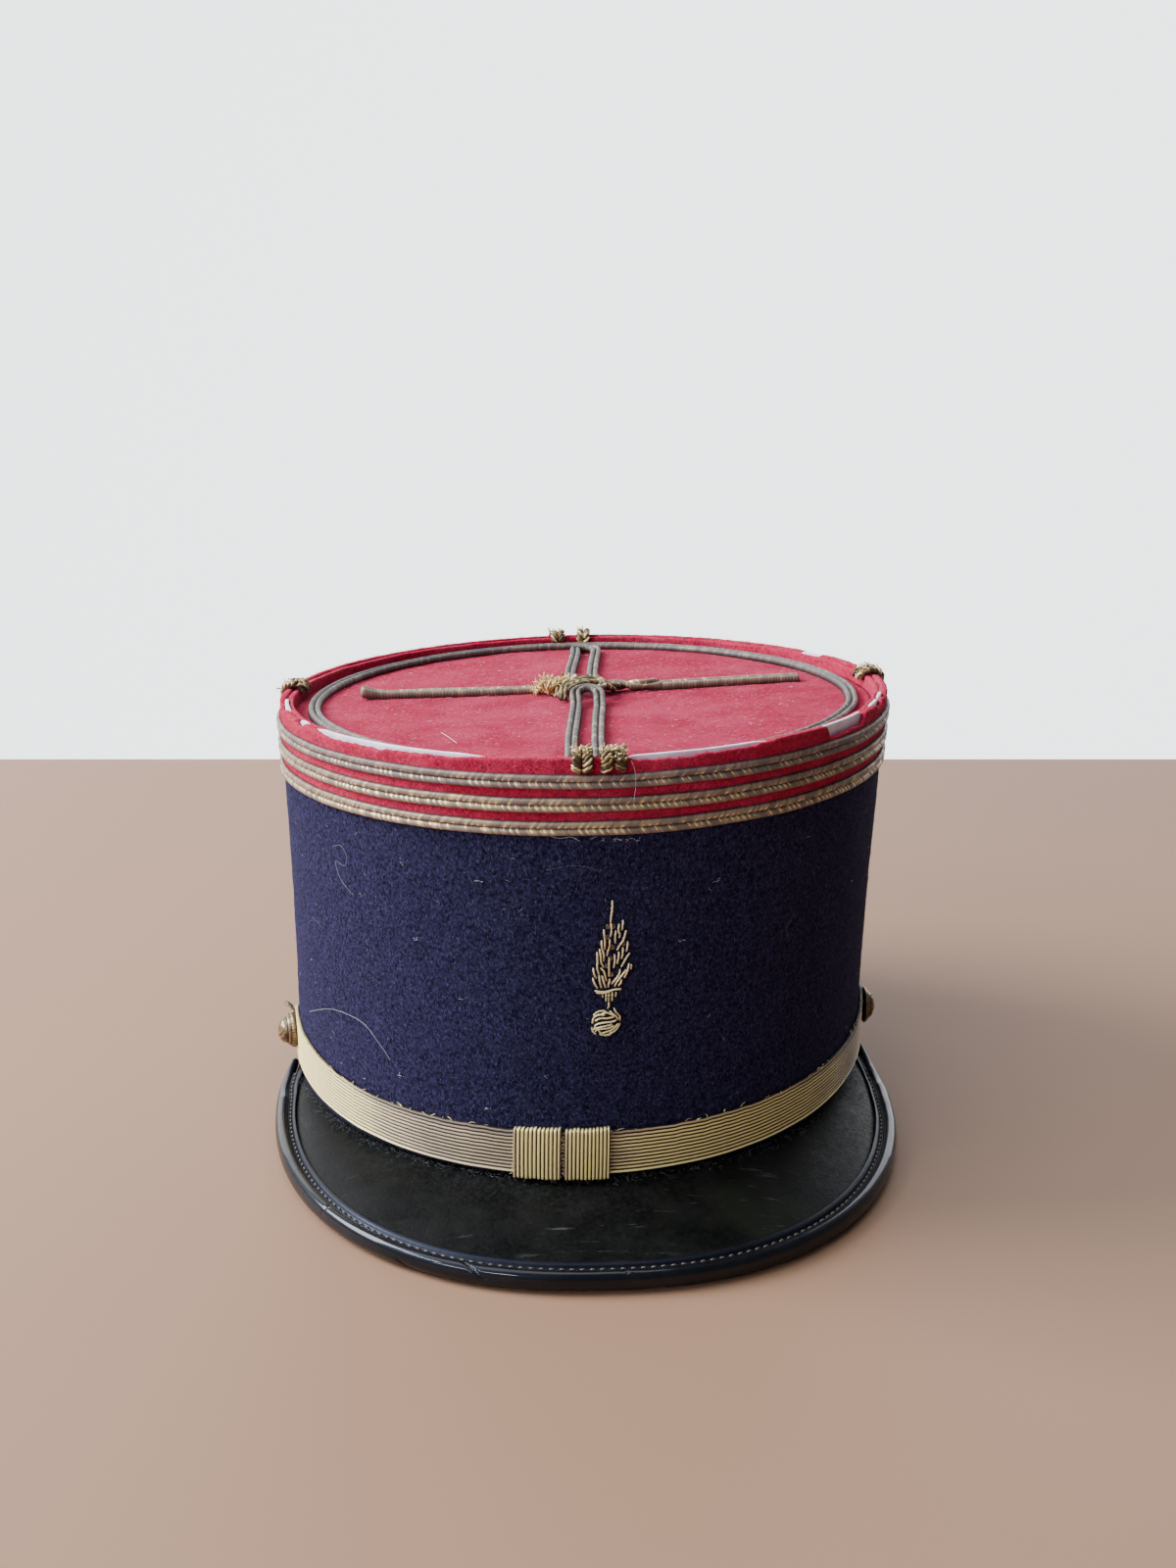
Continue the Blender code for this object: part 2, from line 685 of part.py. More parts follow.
def stand_on_origin():
    """Moves the whole cap so that the middle of its bounding box's bottom is the origin."""
    bpy.context.view_layer.update()
    corners = [item.matrix_world @ vertex.co for item in bpy.data.objects if item.type == "MESH"
               for vertex in item.data.vertices]
    lows = [min(corner[axis] for corner in corners) for axis in range(3)]
    highs = [max(corner[axis] for corner in corners) for axis in range(3)]
    middle = Vector(((lows[0] + highs[0]) / 2, (lows[1] + highs[1]) / 2, lows[2]))
    bpy.data.objects["kepi"].location = -middle


def main():
    clear_scene()
    bpy.context.scene.collection.objects.link(bpy.data.objects.new("kepi", None))
    make_navy_band()
    make_red_crown()
    make_rim_stiffener()
    make_crown_top()
    make_braid_stripes()
    make_top_braid_ring()
    make_braid_arms()
    make_braid_loops()
    make_centre_knot()
    make_rim_wraps()
    make_badge_flame()
    make_badge_ball()
    make_chin_strap()
    make_strap_slides()
    make_buttons()
    make_visor()
    make_visor_bead()
    make_visor_welt()
    stand_on_origin()


main()
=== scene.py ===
"""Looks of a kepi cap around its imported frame: worn felt, tarnished braid, bullion, leather and brass.

Sizes are in millimetres and repeat the frame's own; meshes are written in metres.
Angles around the cap run from the front (-Y), with +X at +90 degrees.
"""
import math

import bmesh
import bpy
import numpy as np
from mathutils import Matrix, Vector, noise


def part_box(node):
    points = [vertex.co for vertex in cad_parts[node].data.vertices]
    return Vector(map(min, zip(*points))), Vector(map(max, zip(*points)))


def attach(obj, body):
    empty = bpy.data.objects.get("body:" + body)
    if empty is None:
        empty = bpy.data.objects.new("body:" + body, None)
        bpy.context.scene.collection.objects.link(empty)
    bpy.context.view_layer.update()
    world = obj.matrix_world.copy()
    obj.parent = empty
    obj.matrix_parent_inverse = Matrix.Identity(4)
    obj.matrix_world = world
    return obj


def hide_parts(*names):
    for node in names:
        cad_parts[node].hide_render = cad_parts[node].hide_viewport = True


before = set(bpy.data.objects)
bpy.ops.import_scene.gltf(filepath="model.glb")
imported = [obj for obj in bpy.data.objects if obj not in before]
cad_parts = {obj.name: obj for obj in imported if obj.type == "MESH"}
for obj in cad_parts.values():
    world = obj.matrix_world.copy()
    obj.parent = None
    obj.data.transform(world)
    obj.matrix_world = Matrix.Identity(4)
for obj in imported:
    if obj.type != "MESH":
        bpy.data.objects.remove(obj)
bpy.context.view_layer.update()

MM = 0.001
TAU = math.tau
UPWARD = np.array([0.0, 0.0, 1.0])

# Sizes of the frame and of what is laid on it, in millimetres; pitches and slants are slopes
BASE_HALF_WIDTH = 79.7
BASE_HALF_LENGTH = 96.3
TOP_HALF_WIDTH = 82.0
TOP_HALF_LENGTH = 93.5
OVAL_POWER = 1.94
CAP_HEIGHT = 104.2
TOP_FORWARD = 6.8
TOP_ASIDE = 1.2
BASE_PITCH = 0.064
TOP_PITCH = 0.056
SIDE_SLANT = 0.020
WAIST = 0.6
BAND_FELT = 2.2
RIM_HEIGHT = 3.75
RIM_OUTER_FELT = 1.2
RIM_INNER_FELT = 1.0
STIFFENER_THICKNESS = 1.0
STIFFENER_HEIGHT = 5.0
TOP_SINK = 3.6
TOP_FELT = 2.0
STRIPE_WIDTH = 3.7
STRIPE_GAP = 2.0
STRIPE_THICKNESS = 0.9
BRAID_THICKNESS = 1.5
RING_INSET_SIDE = 9.2
RING_INSET_END = 6.6
RING_WIDTH = 3.5
LOOP_BRAID_WIDTH = 3.4
LOOP_SPREAD = 6.4
ARM_BRAID_WIDTH = 4.5
ARM_BRAID_THICKNESS = 2.2
WRAP_WIDTH = 5.2
BADGE_DROP = 30.9
BADGE_ASIDE = 1.8
BADGE_SHIFT = 0.9
BADGE_STRETCH = 1.055
# Painted light on the badge's threads: each strand is painted lighter on its side turned this way and darker
# on its far side
BADGE_PAINTED_LIGHT_AIM = (-0.10, -0.86, 0.50)
STRAP_WIDTH = 11.5
STRAP_THICKNESS = 1.0
STRAP_RISE = 5.6
STRAP_RISE_POWER = 3.0
STRAP_RIBS = 12
STRAP_END_TRIM = 2.4
SLIDE_WIDTH = 12.2
SLIDE_THICKNESS = 0.8
SLIDE_JOINT_ASIDE = -8.5
BUTTON_DIAMETER = 10.0
BUTTON_DEPTH = 4.6
RIGHT_BUTTON_DEPTH = 0.66 * BUTTON_DEPTH
RIGHT_BUTTON_LIFT = 0.8
BUTTON_ANGLE = math.radians(81.5)
BUTTON_SWAY = -6.0
STRAP_END_ANGLE = math.radians(86.5)
VISOR_SIDE_MARGIN = 5.3
VISOR_DEPTH = 33.8
VISOR_BACK = 20.0
VISOR_POWER = 2.3
VISOR_THICKNESS = 2.0
VISOR_CROWN = 1.2
VISOR_CROWN_WIDTH = 30.0
VISOR_SEAM_ANGLE = math.radians(78)
VISOR_EDGE_ANGLE = math.radians(90)
VISOR_FILL_ANGLE = math.radians(93.6)
BEAD_WIDTH = 3.8
BEAD_HEIGHT = 5.6
BEAD_TAPER = 0.42
BEAD_LIFT_ANGLE = math.radians(86)
BEAD_END_ANGLE = math.radians(94)
BEAD_END_RISE = 0.2
BEAD_UNDERCUT = 0.7
EDGE_GROOVE = 0.5
WELT_WIDTH = 3.3
WELT_THICKNESS = 0.8
WELT_OVER_BEAD = 0.32
STITCH_PITCH = 2.4
WELT_END_ANGLE = math.radians(91.5)
CLEARANCE = 0.3

STRIPE_PITCH = STRIPE_WIDTH + STRIPE_GAP
FELT_JOINT = 2 * STRIPE_PITCH + 0.5 * STRIPE_WIDTH
RIM_THICKNESS = RIM_OUTER_FELT + RIM_INNER_FELT + STIFFENER_THICKNESS + 2 * CLEARANCE
VISOR_HALF_WIDTH = BASE_HALF_WIDTH + VISOR_SIDE_MARGIN
VISOR_REACH = BASE_HALF_LENGTH + VISOR_DEPTH
BASE_LEVEL = math.hypot(SIDE_SLANT * BASE_HALF_WIDTH, BASE_PITCH * BASE_HALF_LENGTH)
TOP_LEVEL = BASE_LEVEL + CAP_HEIGHT
STRAP_FRONT_RISE = SLIDE_THICKNESS + 2 * CLEARANCE

# The cap's own middle in the frame: its visor's tip is VISOR_REACH ahead of it
BEAD_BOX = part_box("visor_bead")
MIDDLE_X = (BEAD_BOX[0][0] + BEAD_BOX[1][0]) / 2 / MM
MIDDLE_Y = BEAD_BOX[0][1] / MM + VISOR_REACH

# Camera, from the photo's perspective, in the cap's own millimetres
CAMERA_DISTANCE = 529.1
CAMERA_HEIGHT = 238.0
CAMERA_ASIDE = 2.4
CAMERA_PITCH = 0.282
CAP_YAW = 0.051
CAMERA_LENS = 45.0

# Table and far wall, by the camera's own right and ahead from the cap's middle, in mm
TABLE_EDGE = 333.0
TABLE_NEAR = -2500.0
STAGE_HALF_WIDTH = 3000.0
WALL_PLACE = 3000.0
WALL_BOTTOM = -1800.0
WALL_TOP = 2600.0
WALL_GLOW = 3.1
ROOM_COLOUR = (0.86, 0.91, 1.0, 1.0)
ROOM_STRENGTH = 0.19
LIGHTS = (
    # name, place to the right, ahead and up in mm, size in m, power in W, colour
    ("window", (-1250, 150, 950), (0.9, 0.9), 64.0, (0.95, 0.97, 1.0)),
    ("overhead", (-300, -100, 1500), (1.2, 1.2), 13.0, (1, 1, 1)),
    ("front_window", (-830, -1180, 640), (0.8, 0.07), 8.5, (0.93, 0.96, 1.0)),
    ("edge_window", (-1110, -590, 930), (0.4, 0.1), 7.0, (0.86, 0.93, 1.0)),
)

# Sections along each piece, which set its share of the triangles
BAND_SECTIONS = 410
CROWN_SECTIONS = 700
TOP_SECTIONS = 360
STIFFENER_SECTIONS = 480
LINING_SECTIONS = 240
STRIPE_SECTIONS = 2500
RING_SECTIONS = 2300
STRAP_SECTIONS = 430
VISOR_SECTIONS = 260
BEAD_SECTIONS = 720
WELT_SECTIONS = 920
BEAD_SIDES = 36

# The knot's place, as shares of the top oval's half sizes
KNOT_CENTRE = (0.004, 0.075)
# How far the front loop's arch is lifted over the knot, and for how long a stretch, in mm
ARCH_LIFT = 3.2
ARCH_REACH = 12.0

# Courses of the badge's threads, listed one by one
FLAME_STRANDS = (
    # places as mm right of the badge's middle and mm below its tip
    ((0.3, 0.2), (0.3, 2.1), (0.1, 4.0), (0.0, 5.6)),
    ((0.1, 5.6), (0.2, 7.6), (0.0, 9.0)),
    ((-1.6, 7.0), (-1.5, 8.3), (-1.3, 9.7), (-1.3, 12.0)),
    ((-0.1, 9.4), (-0.2, 11.3), (-0.6, 12.6), (-0.7, 13.7)),
    ((1.3, 7.4), (1.1, 8.8), (1.2, 10.6)),
    ((2.0, 5.8), (1.8, 7.4), (2.2, 8.5), (2.0, 9.3)),
    ((2.9, 5.0), (2.8, 6.3), (2.7, 7.6)),
    ((3.7, 7.5), (3.3, 8.8), (2.9, 10.0), (2.2, 11.0), (1.6, 12.3)),
    ((-2.1, 9.6), (-2.0, 11.3), (-1.5, 13.1), (-1.5, 14.8)),
    ((4.1, 10.2), (4.0, 11.5), (3.8, 12.8)),
    ((3.0, 11.5), (2.9, 13.1), (2.7, 14.5)),
    ((2.1, 12.5), (1.9, 14.2), (1.7, 15.6)),
    ((1.1, 13.1), (1.1, 14.9), (0.9, 16.6)),
    ((-2.6, 11.7), (-2.3, 13.1), (-2.1, 14.9), (-1.4, 16.3)),
    ((-3.2, 12.4), (-3.1, 14.5), (-3.1, 16.3), (-2.6, 17.9)),
    ((4.7, 13.1), (3.9, 14.0), (3.1, 15.5), (2.7, 16.5)),
    ((-0.2, 13.8), (-0.2, 16.3), (-0.1, 18.6)),
    ((4.5, 15.5), (4.2, 16.8), (3.7, 18.4), (3.4, 19.1)),
    ((5.0, 15.8), (5.0, 16.5), (4.9, 17.2)),
    ((-4.1, 16.2), (-3.8, 17.7), (-3.2, 18.9)),
    ((-4.2, 18.6), (-3.7, 19.9), (-2.9, 21.3)),
    ((-2.3, 16.3), (-1.4, 17.2), (-1.0, 18.6), (-0.7, 19.7)),
    ((-2.6, 17.9), (-2.4, 19.5), (-1.9, 21.3)),
    ((-1.9, 18.1), (-1.4, 19.7), (-0.9, 21.3)),
    ((2.5, 16.8), (2.2, 18.1), (1.3, 19.3), (0.5, 20.5)),
    ((4.0, 17.0), (2.8, 18.4), (1.7, 19.9), (1.2, 21.1)),
    ((2.9, 19.3), (2.5, 20.2), (2.1, 20.9)),
    ((0.1, 19.0), (-0.2, 20.4), (-0.3, 21.3)),
    ((-1.6, 22.2), (-1.6, 22.9), (-1.6, 23.6)),
    ((-0.8, 22.3), (-0.8, 23.4), (-0.8, 24.6)),
    ((-0.1, 22.3), (-0.1, 23.6), (-0.1, 24.7)),
    ((0.7, 22.2), (0.7, 23.4), (0.7, 24.6)),
    ((1.6, 22.2), (1.5, 22.9), (1.5, 23.6)),
    ((-0.1, 24.7), (-0.1, 25.7), (-0.3, 26.5)),
    ((-3.7, 21.7), (-2.2, 22.0), (-0.7, 22.0), (1.1, 21.6), (2.8, 21.6)),
    ((-3.3, 22.2), (-1.5, 22.3), (0.4, 22.0)),
)
BALL_STRANDS = (
    # places as mm right of the badge's middle and mm below its tip
    ((-3.9, 27.9), (-3.1, 27.1), (-2.0, 26.7), (-0.7, 26.8)),
    ((-4.1, 29.8), (-3.8, 28.4), (-2.6, 27.6), (-0.9, 27.6)),
    ((-3.5, 29.1), (-2.2, 28.4), (-0.5, 28.4), (1.3, 28.2)),
    ((-3.7, 30.9), (-3.1, 29.8), (-1.3, 29.3), (0.6, 29.2), (1.7, 28.9)),
    ((-3.9, 31.8), (-3.5, 30.9), (-2.4, 30.5), (-0.7, 30.1), (0.8, 29.8)),
    ((-3.2, 32.5), (-3.2, 31.4), (-2.0, 30.9), (-0.2, 30.7), (1.3, 30.2)),
    ((-2.6, 31.4), (-1.8, 32.0), (-0.5, 31.6), (1.1, 30.9), (2.1, 29.8)),
    ((-2.4, 32.3), (-1.1, 32.6), (0.4, 32.2), (1.7, 31.3), (2.6, 29.8)),
    ((1.1, 26.2), (1.7, 27.3), (2.5, 28.2), (2.6, 29.5)),
    ((0.1, 26.7), (0.8, 27.4), (1.7, 28.2), (2.1, 29.1)),
    ((-2.0, 27.5), (-0.7, 27.1), (0.4, 27.5), (1.3, 28.2)),
    ((-0.5, 30.2), (0.4, 30.3), (0.8, 31.1), (0.2, 32.3)),
    ((-1.5, 32.7), (-0.7, 32.8), (0.6, 32.5)),
    ((-4.2, 30.5), (-4.0, 31.6), (-3.2, 32.5)),
)
# The last strands of the flame lie across the others, as its collar
FLAME_COLLAR = 2
FLAME_COILS = ((-0.6, 6.5), (0.7, 6.5), (0.6, 11.5), (0.2, 14.2), (-0.7, 16.0), (0.5, 18.1), (3.2, 10.8),
               (-0.6, 9.0))
# Stretches of rim where the outer felt is worn off the white strip
WORN_RIM = (
    # from degrees, to degrees, depth in mm, softness in degrees
    (-57.0, -36.0, 1.10, 7.0),
    (-42.0, -21.5, 0.80, 8.0),
    (5.2, 17.0, 1.15, 3.0),
    (14.0, 30.0, 0.75, 5.0),
    (44.0, 57.0, 2.90, 1.2),
    (64.0, 68.5, 1.60, 2.0),
    (71.5, 75.0, 1.30, 1.5),
    (-86.0, -77.0, 1.50, 3.0),
    (-66.0, -63.0, 1.20, 1.5),
    (117.0, 121.0, 1.10, 2.0),
)
# The stretch of rim that stands up in a fold: from and to degrees, and how high in mm
RIM_FOLD = (27.0, 43.5, 1.0)

# Display colours of the braids' and cords' threads
BRAID_TONES = (
    # name, dull, warm and bright threads, share of metal, shift towards bright
    ("gold_braid_top", (92, 87, 86), (128, 118, 106), (214, 190, 148), 0.3, 0.0),
    ("gold_braid_tarnished", (116, 101, 98), (158, 138, 124), (226, 200, 154), 0.3, 0.0),
    ("gold_braid_worn", (124, 108, 98), (168, 146, 122), (236, 210, 156), 0.35, 0.0),
    ("gold_braid_knotted", (84, 68, 46), (166, 142, 98), (240, 220, 164), 0.3, 0.0),
    ("gold_braid_frayed", (124, 102, 62), (200, 172, 112), (246, 224, 160), 0.12, 0.15),
    ("bullion_thread", (130, 102, 80), (212, 182, 130), (255, 238, 184), 0.3, 0.0),
    ("strap_thread", (134, 121, 106), (208, 186, 148), (255, 236, 160), 0.12, 0.0),
    ("welt_thread", (52, 46, 42), (84, 76, 70), (120, 110, 100), 0.0, 0.0),
    ("hair_and_lint", (84, 86, 104), (132, 136, 152), (200, 200, 208), 0.0, 0.2),
    ("top_lint", (196, 84, 108), (222, 140, 158), (240, 206, 214), 0.0, 0.2),
)
# Display colours of the short hairs
HAIR_TONES = (
    # name, dark, light
    ("navy_nap_hair", (18, 18, 44), (88, 88, 124)),
    ("red_nap_hair", (140, 10, 40), (206, 60, 92)),
    ("top_nap_hair", (160, 30, 62), (230, 136, 158)),
    ("seam_dust_hair", (40, 42, 46), (96, 98, 104)),
)
BAND_HAIRS = 5200
RIM_HAIRS = 2700
TOP_HAIRS = 5200
SEAM_HAIRS = 1200
BAND_SPECKS = 80
TOP_SPECKS = 340
RANDOM_SEED = 1958


def oval(half_width, half_length, angle, power=OVAL_POWER):
    """Plan points of a superellipse and their outward normals."""
    side, ahead = np.sin(angle), np.cos(angle)
    x = half_width * signed_power(side, 2 / power)
    y = -half_length * signed_power(ahead, 2 / power)
    slope_x = signed_power(x / half_width, power - 1) / half_width
    slope_y = signed_power(y / half_length, power - 1) / half_length
    size = np.hypot(slope_x, slope_y)
    flat = np.zeros_like(x)
    return np.stack([x, y, flat], -1), np.stack([slope_x / size, slope_y / size, flat], -1)


def held(values):
    """Shares kept between 0 and 1."""
    return np.clip(values, 0, 1)


def signed_power(values, power):
    return np.sign(values) * np.abs(values) ** power


def unit(vectors):
    return vectors / np.maximum(np.linalg.norm(vectors, axis=-1, keepdims=True), 1e-12)


def base_level(points):
    """Height of the cap's lower edge, which leans with the head."""
    return BASE_LEVEL + SIDE_SLANT * points[..., 0] - BASE_PITCH * points[..., 1]


def top_level(points):
    """Height of the upper stripe's top edge."""
    return TOP_LEVEL + SIDE_SLANT * points[..., 0] - TOP_PITCH * points[..., 1]


def wall(angle, out=0.0, above_base=None, below_top=0.0):
    """Points beside the felt's outer face, by height above the base or below the top stripe."""
    angle = np.asarray(angle, float)
    base, base_normal = oval(BASE_HALF_WIDTH, BASE_HALF_LENGTH, angle)
    top, top_normal = oval(TOP_HALF_WIDTH, TOP_HALF_LENGTH, angle)
    base[..., 0] -= TOP_ASIDE / 2
    base[..., 2] = base_level(base)
    top[..., 0] += TOP_ASIDE / 2
    top[..., 1] -= TOP_FORWARD
    top[..., 2] = top_level(top)
    run = top - base
    length = np.linalg.norm(run, axis=-1)
    up = run / length[..., None]
    height = length - below_top if above_base is None else above_base + 0 * length
    share = height / length
    bounded = held(share)
    normal = base_normal + (top_normal - base_normal) * bounded[..., None]
    across = unit(normal - up * (normal * up).sum(-1, keepdims=True))
    reach = out - WAIST * np.sin(math.pi * bounded)
    point = base + up * height[..., None] + across * np.asarray(reach)[..., None]
    point[..., 2] = base_level(point) * (1 - share) + top_level(point) * share
    return point


def wall_length(angle):
    """Height of the felt along its own slope."""
    return np.linalg.norm(wall(angle, below_top=0.0) - wall(angle, above_base=0.0), axis=-1)


def wall_frame(angle, height, out=0.0):
    """Points on the felt with the directions to the right, up and out, for heights above the base."""
    nearby = 0.004
    here = wall(angle, out, above_base=height)
    right = unit(wall(angle + nearby, out, above_base=height) - wall(angle - nearby, out, above_base=height))
    up = unit(wall(angle, out, above_base=height + 0.5) - wall(angle, out, above_base=height - 0.5))
    return here, right, up, unit(np.cross(right, up))


def on_top(x, y, lift=0.0):
    """Points over the sunken top."""
    point = np.stack([x, y, np.zeros_like(x)], -1)
    point[..., 2] = top_level(point) + RIM_HEIGHT - TOP_SINK + lift
    return point


def top_place(share_x, share_y):
    return np.array([TOP_ASIDE / 2 + share_x * TOP_HALF_WIDTH, share_y * TOP_HALF_LENGTH - TOP_FORWARD])


def path_lengths(points, closed=False):
    """Length along a path up to each point, and in all."""
    steps = np.linalg.norm(np.diff(points, axis=0), axis=-1)
    lengths = np.concatenate([[0], np.cumsum(steps)])
    total = lengths[-1] + (np.linalg.norm(points[0] - points[-1]) if closed else 0)
    return lengths, total


def even(curve, start, end, count):
    """Parameters between two ends, evenly spaced along a curve."""
    fine = np.linspace(start, end, 6000)
    lengths, total = path_lengths(curve(fine))
    return np.interp(np.linspace(0, total, count), lengths, fine)


def wobble(points, scale, seed=0.0):
    """Smooth noise of about -1 to 1 at points in millimetres, for lumps of a size."""
    flat = points.reshape(-1, 3) / scale + seed
    values = [noise.noise(Vector(p)) for p in flat]
    return np.array(values).reshape(points.shape[:-1])


def make_object(name, vertices, faces, material, smooth=True):
    """Adds a mesh in the cap's own millimetres and lets it ride with the cap."""
    placed = np.array(vertices, float)
    placed[:, 0] += MIDDLE_X
    placed[:, 1] += MIDDLE_Y
    mesh = bpy.data.meshes.new(name)
    mesh.from_pydata((placed * MM).tolist(), [], faces)
    bm = bmesh.new()
    bm.from_mesh(mesh)
    bmesh.ops.recalc_face_normals(bm, faces=bm.faces)
    bm.to_mesh(mesh)
    bm.free()
    if smooth:
        mesh.shade_smooth()
    mesh.materials.append(material)
    obj = bpy.data.objects.new(name, mesh)
    bpy.context.scene.collection.objects.link(obj)
    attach(obj, "root")
    return obj


def grid_faces(rows, cols, wrap_along, start=0):
    """Quads between sections of a closed outline, given row by row."""
    row_ids = np.arange(rows if wrap_along else rows - 1)
    i, j = np.meshgrid(row_ids, np.arange(cols), indexing="ij")
    i2, j2 = (i + 1) % rows, (j + 1) % cols
    corners = [i * cols + j, i * cols + j2, i2 * cols + j2, i2 * cols + j]
    return (np.stack(corners, -1).reshape(-1, 4) + start).tolist()


def add_point_values(obj, name, values):
    attribute = obj.data.attributes.new(name, "FLOAT", "POINT")
    attribute.data.foreach_set("value", np.asarray(values, np.float32).ravel())


def skin(name, points, material, wrap_along=True, tone=None):
    """One closed body over a grid of sections; an open run of sections gets a cap at each end."""
    rows, cols = points.shape[:2]
    faces = grid_faces(rows, cols, wrap_along)
    if not wrap_along:
        faces.append(list(range(cols)))
        faces.append(list(range((rows - 1) * cols, rows * cols)))
    obj = make_object(name, points.reshape(-1, 3), faces, material)
    if tone is not None:
        add_point_values(obj, "tone", tone)
    return obj


class Bundle:
    """Closed bodies gathered into one mesh, with the values its material reads."""

    def __init__(self):
        self.vertices = []
        self.faces = []
        self.gold = []
        self.depth = []
        self.count = 0

    def add_grid(self, points, gold=0.5, depth=1.0, closed=False):
        rows, cols = points.shape[:2]
        self.faces += grid_faces(rows, cols, closed, self.count)
        if not closed:
            self.faces.append([self.count + index for index in range(cols)])
            self.faces.append([self.count + (rows - 1) * cols + index for index in range(cols)])
        self.vertices.append(points.reshape(-1, 3))
        self.gold.append(np.broadcast_to(gold, (rows, cols)).ravel())
        self.depth.append(np.broadcast_to(depth, (rows, cols)).ravel())
        self.count += rows * cols

    def build(self, name, material, replaced=()):
        obj = make_object(name, np.concatenate(self.vertices), self.faces, material)
        add_point_values(obj, "gold", np.concatenate(self.gold))
        add_point_values(obj, "depth", np.concatenate(self.depth))
        if replaced:
            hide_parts(*replaced)
        return obj


def scatter_value(numbers, seed=0.0):
    """A repeatable value from 0 to 1 for each whole number."""
    return np.mod(np.abs(np.sin(numbers * 12.9898 + seed * 78.233) * 43758.5453), 1.0)


def braid(bundle, centres, rights, ups, width, height, ribs=2, per_rib=7, pitch=1.0, slant=1.0,
          relief=0.14, valley=0.45, seed=1.0, gold=0.4, spread=0.5, closed=False, ends=0.0, glint=0.0):
    """Lays ribs side by side with slanting threads on them, over a flat underside."""
    lengths, total = path_lengths(centres, closed)
    if closed:
        pitch = total / round(total / pitch)
    cols = ribs * per_rib + 1
    across = np.linspace(0, 1, cols)
    rib = np.minimum((across * ribs).astype(int), ribs - 1)
    local = across * ribs - rib
    dome = np.sqrt(held(1 - (2 * local - 1) ** 2))
    profile = valley + (1 - valley) * dome
    profile[0] = profile[-1] = 0.0
    lean = np.where(rib % 2 == 1, 1 - local, local)
    phase = lengths[:, None] / pitch + slant * lean[None, :]
    thread = np.floor(phase)
    crest = np.abs(np.sin(math.pi * (phase - thread))) ** 0.6
    widths = np.broadcast_to(width, lengths.shape).astype(float)
    heights = np.broadcast_to(height, lengths.shape).astype(float)
    if ends > 0:
        taper = held(np.minimum(lengths, total - lengths) / ends)
        taper = np.sqrt(np.clip(1 - (1 - taper) ** 2, 0.02, 1))
        widths = widths * (0.35 + 0.65 * taper)
        heights = heights * (0.25 + 0.75 * taper)
    body = (heights[:, None] - relief) * profile[None, :] + relief * crest * (profile > 0)
    points = (centres[:, None, :]
              + rights[:, None, :] * ((across - 0.5)[None, :] * widths[:, None])[..., None]
              + ups[:, None, :] * body[..., None])
    picked = scatter_value(thread + 131 * rib[None, :], seed)
    slow = 0.5 + 0.5 * np.sin(lengths / 23.0 + seed)[:, None]
    shade = gold + spread * (picked - 0.5) + 0.15 * (slow - 0.5)
    sparkle = np.mod(thread, 2) * (0.3 + 0.8 * picked) * (picked > 0.35)
    shade = shade + glint * sparkle * held((lean[None, :] - 0.45) / 0.25) * crest
    shade = np.clip(shade, 0, 1.3)
    # Painted shade: darker between the threads and down the sides of each rib
    deep = held(0.35 + 0.65 * crest) * (0.35 + 0.65 * dome[None, :])
    bundle.add_grid(points, shade, deep, closed)


def frames(points, closed=False):
    """Directions to the right of and above a path."""
    if closed:
        ahead = np.roll(points, -1, axis=0) - np.roll(points, 1, axis=0)
    else:
        ahead = np.gradient(points, axis=0)
    ahead = unit(ahead)
    right = unit(np.cross(ahead, UPWARD))
    return right, unit(np.cross(right, ahead))


def smooth_path(points, step):
    """Evenly spaced points of a smooth curve through the points given."""
    points = np.array(points, float)
    knots = np.concatenate([[0], np.cumsum(np.sqrt(np.linalg.norm(np.diff(points, axis=0), axis=-1)))])
    ahead = np.gradient(points, knots, axis=0)
    pieces = []
    for index in range(len(points) - 1):
        gap = knots[index + 1] - knots[index]
        t = np.linspace(0, 1, 40, endpoint=False)[:, None]
        start = (2 * t ** 3 - 3 * t ** 2 + 1) * points[index]
        end = (-2 * t ** 3 + 3 * t ** 2) * points[index + 1]
        leave = (t ** 3 - 2 * t ** 2 + t) * gap * ahead[index]
        arrive = (t ** 3 - t ** 2) * gap * ahead[index + 1]
        pieces.append(start + end + leave + arrive)
    curve = np.concatenate(pieces + [points[-1:]])
    lengths, total = path_lengths(curve)
    count = max(int(round(total / step)) + 1, 4)
    marks = np.linspace(0, total, count)
    return np.stack([np.interp(marks, lengths, curve[:, axis]) for axis in range(3)], -1)


def cord_tube(bundle, points, radius, sides=7, gold=0.5, turns=0.0, ply=0.0, tip=1.0, seed=1.0, facing=None):
    """A round strand along a path, with plies twisted round it and ends that close to tips."""
    right, up = frames(points)
    lengths, total = path_lengths(points)
    angles = np.arange(sides) * TAU / sides
    taper = held(np.minimum(lengths, total - lengths) / max(tip, 1e-6))
    size = radius * (0.2 + 0.8 * np.sqrt(held(1 - (1 - taper) ** 2)))
    wave = 0.0
    if turns:
        wave = np.cos(angles[None, :] * 2 - TAU * turns * lengths[:, None])
    reach = size[:, None] * (1 + ply * wave)
    ring = (right[:, None, :] * np.cos(angles)[None, :, None]
            + up[:, None, :] * np.sin(angles)[None, :, None])
    shade = gold + 0.12 * np.sin(lengths * 2.1 + seed)[:, None]
    # Painted shade between the plies; with facing, each strand is painted lighter on the side turned towards
    # it and darker on its far side
    deep = 0.7 + 0.3 * wave if turns else 0.8
    if facing is not None:
        deep = held(0.05 + 0.95 * (ring @ np.array(facing, float)) + 0.12 * wave)
    bundle.add_grid(points[:, None, :] + ring * reach[..., None], shade, deep)


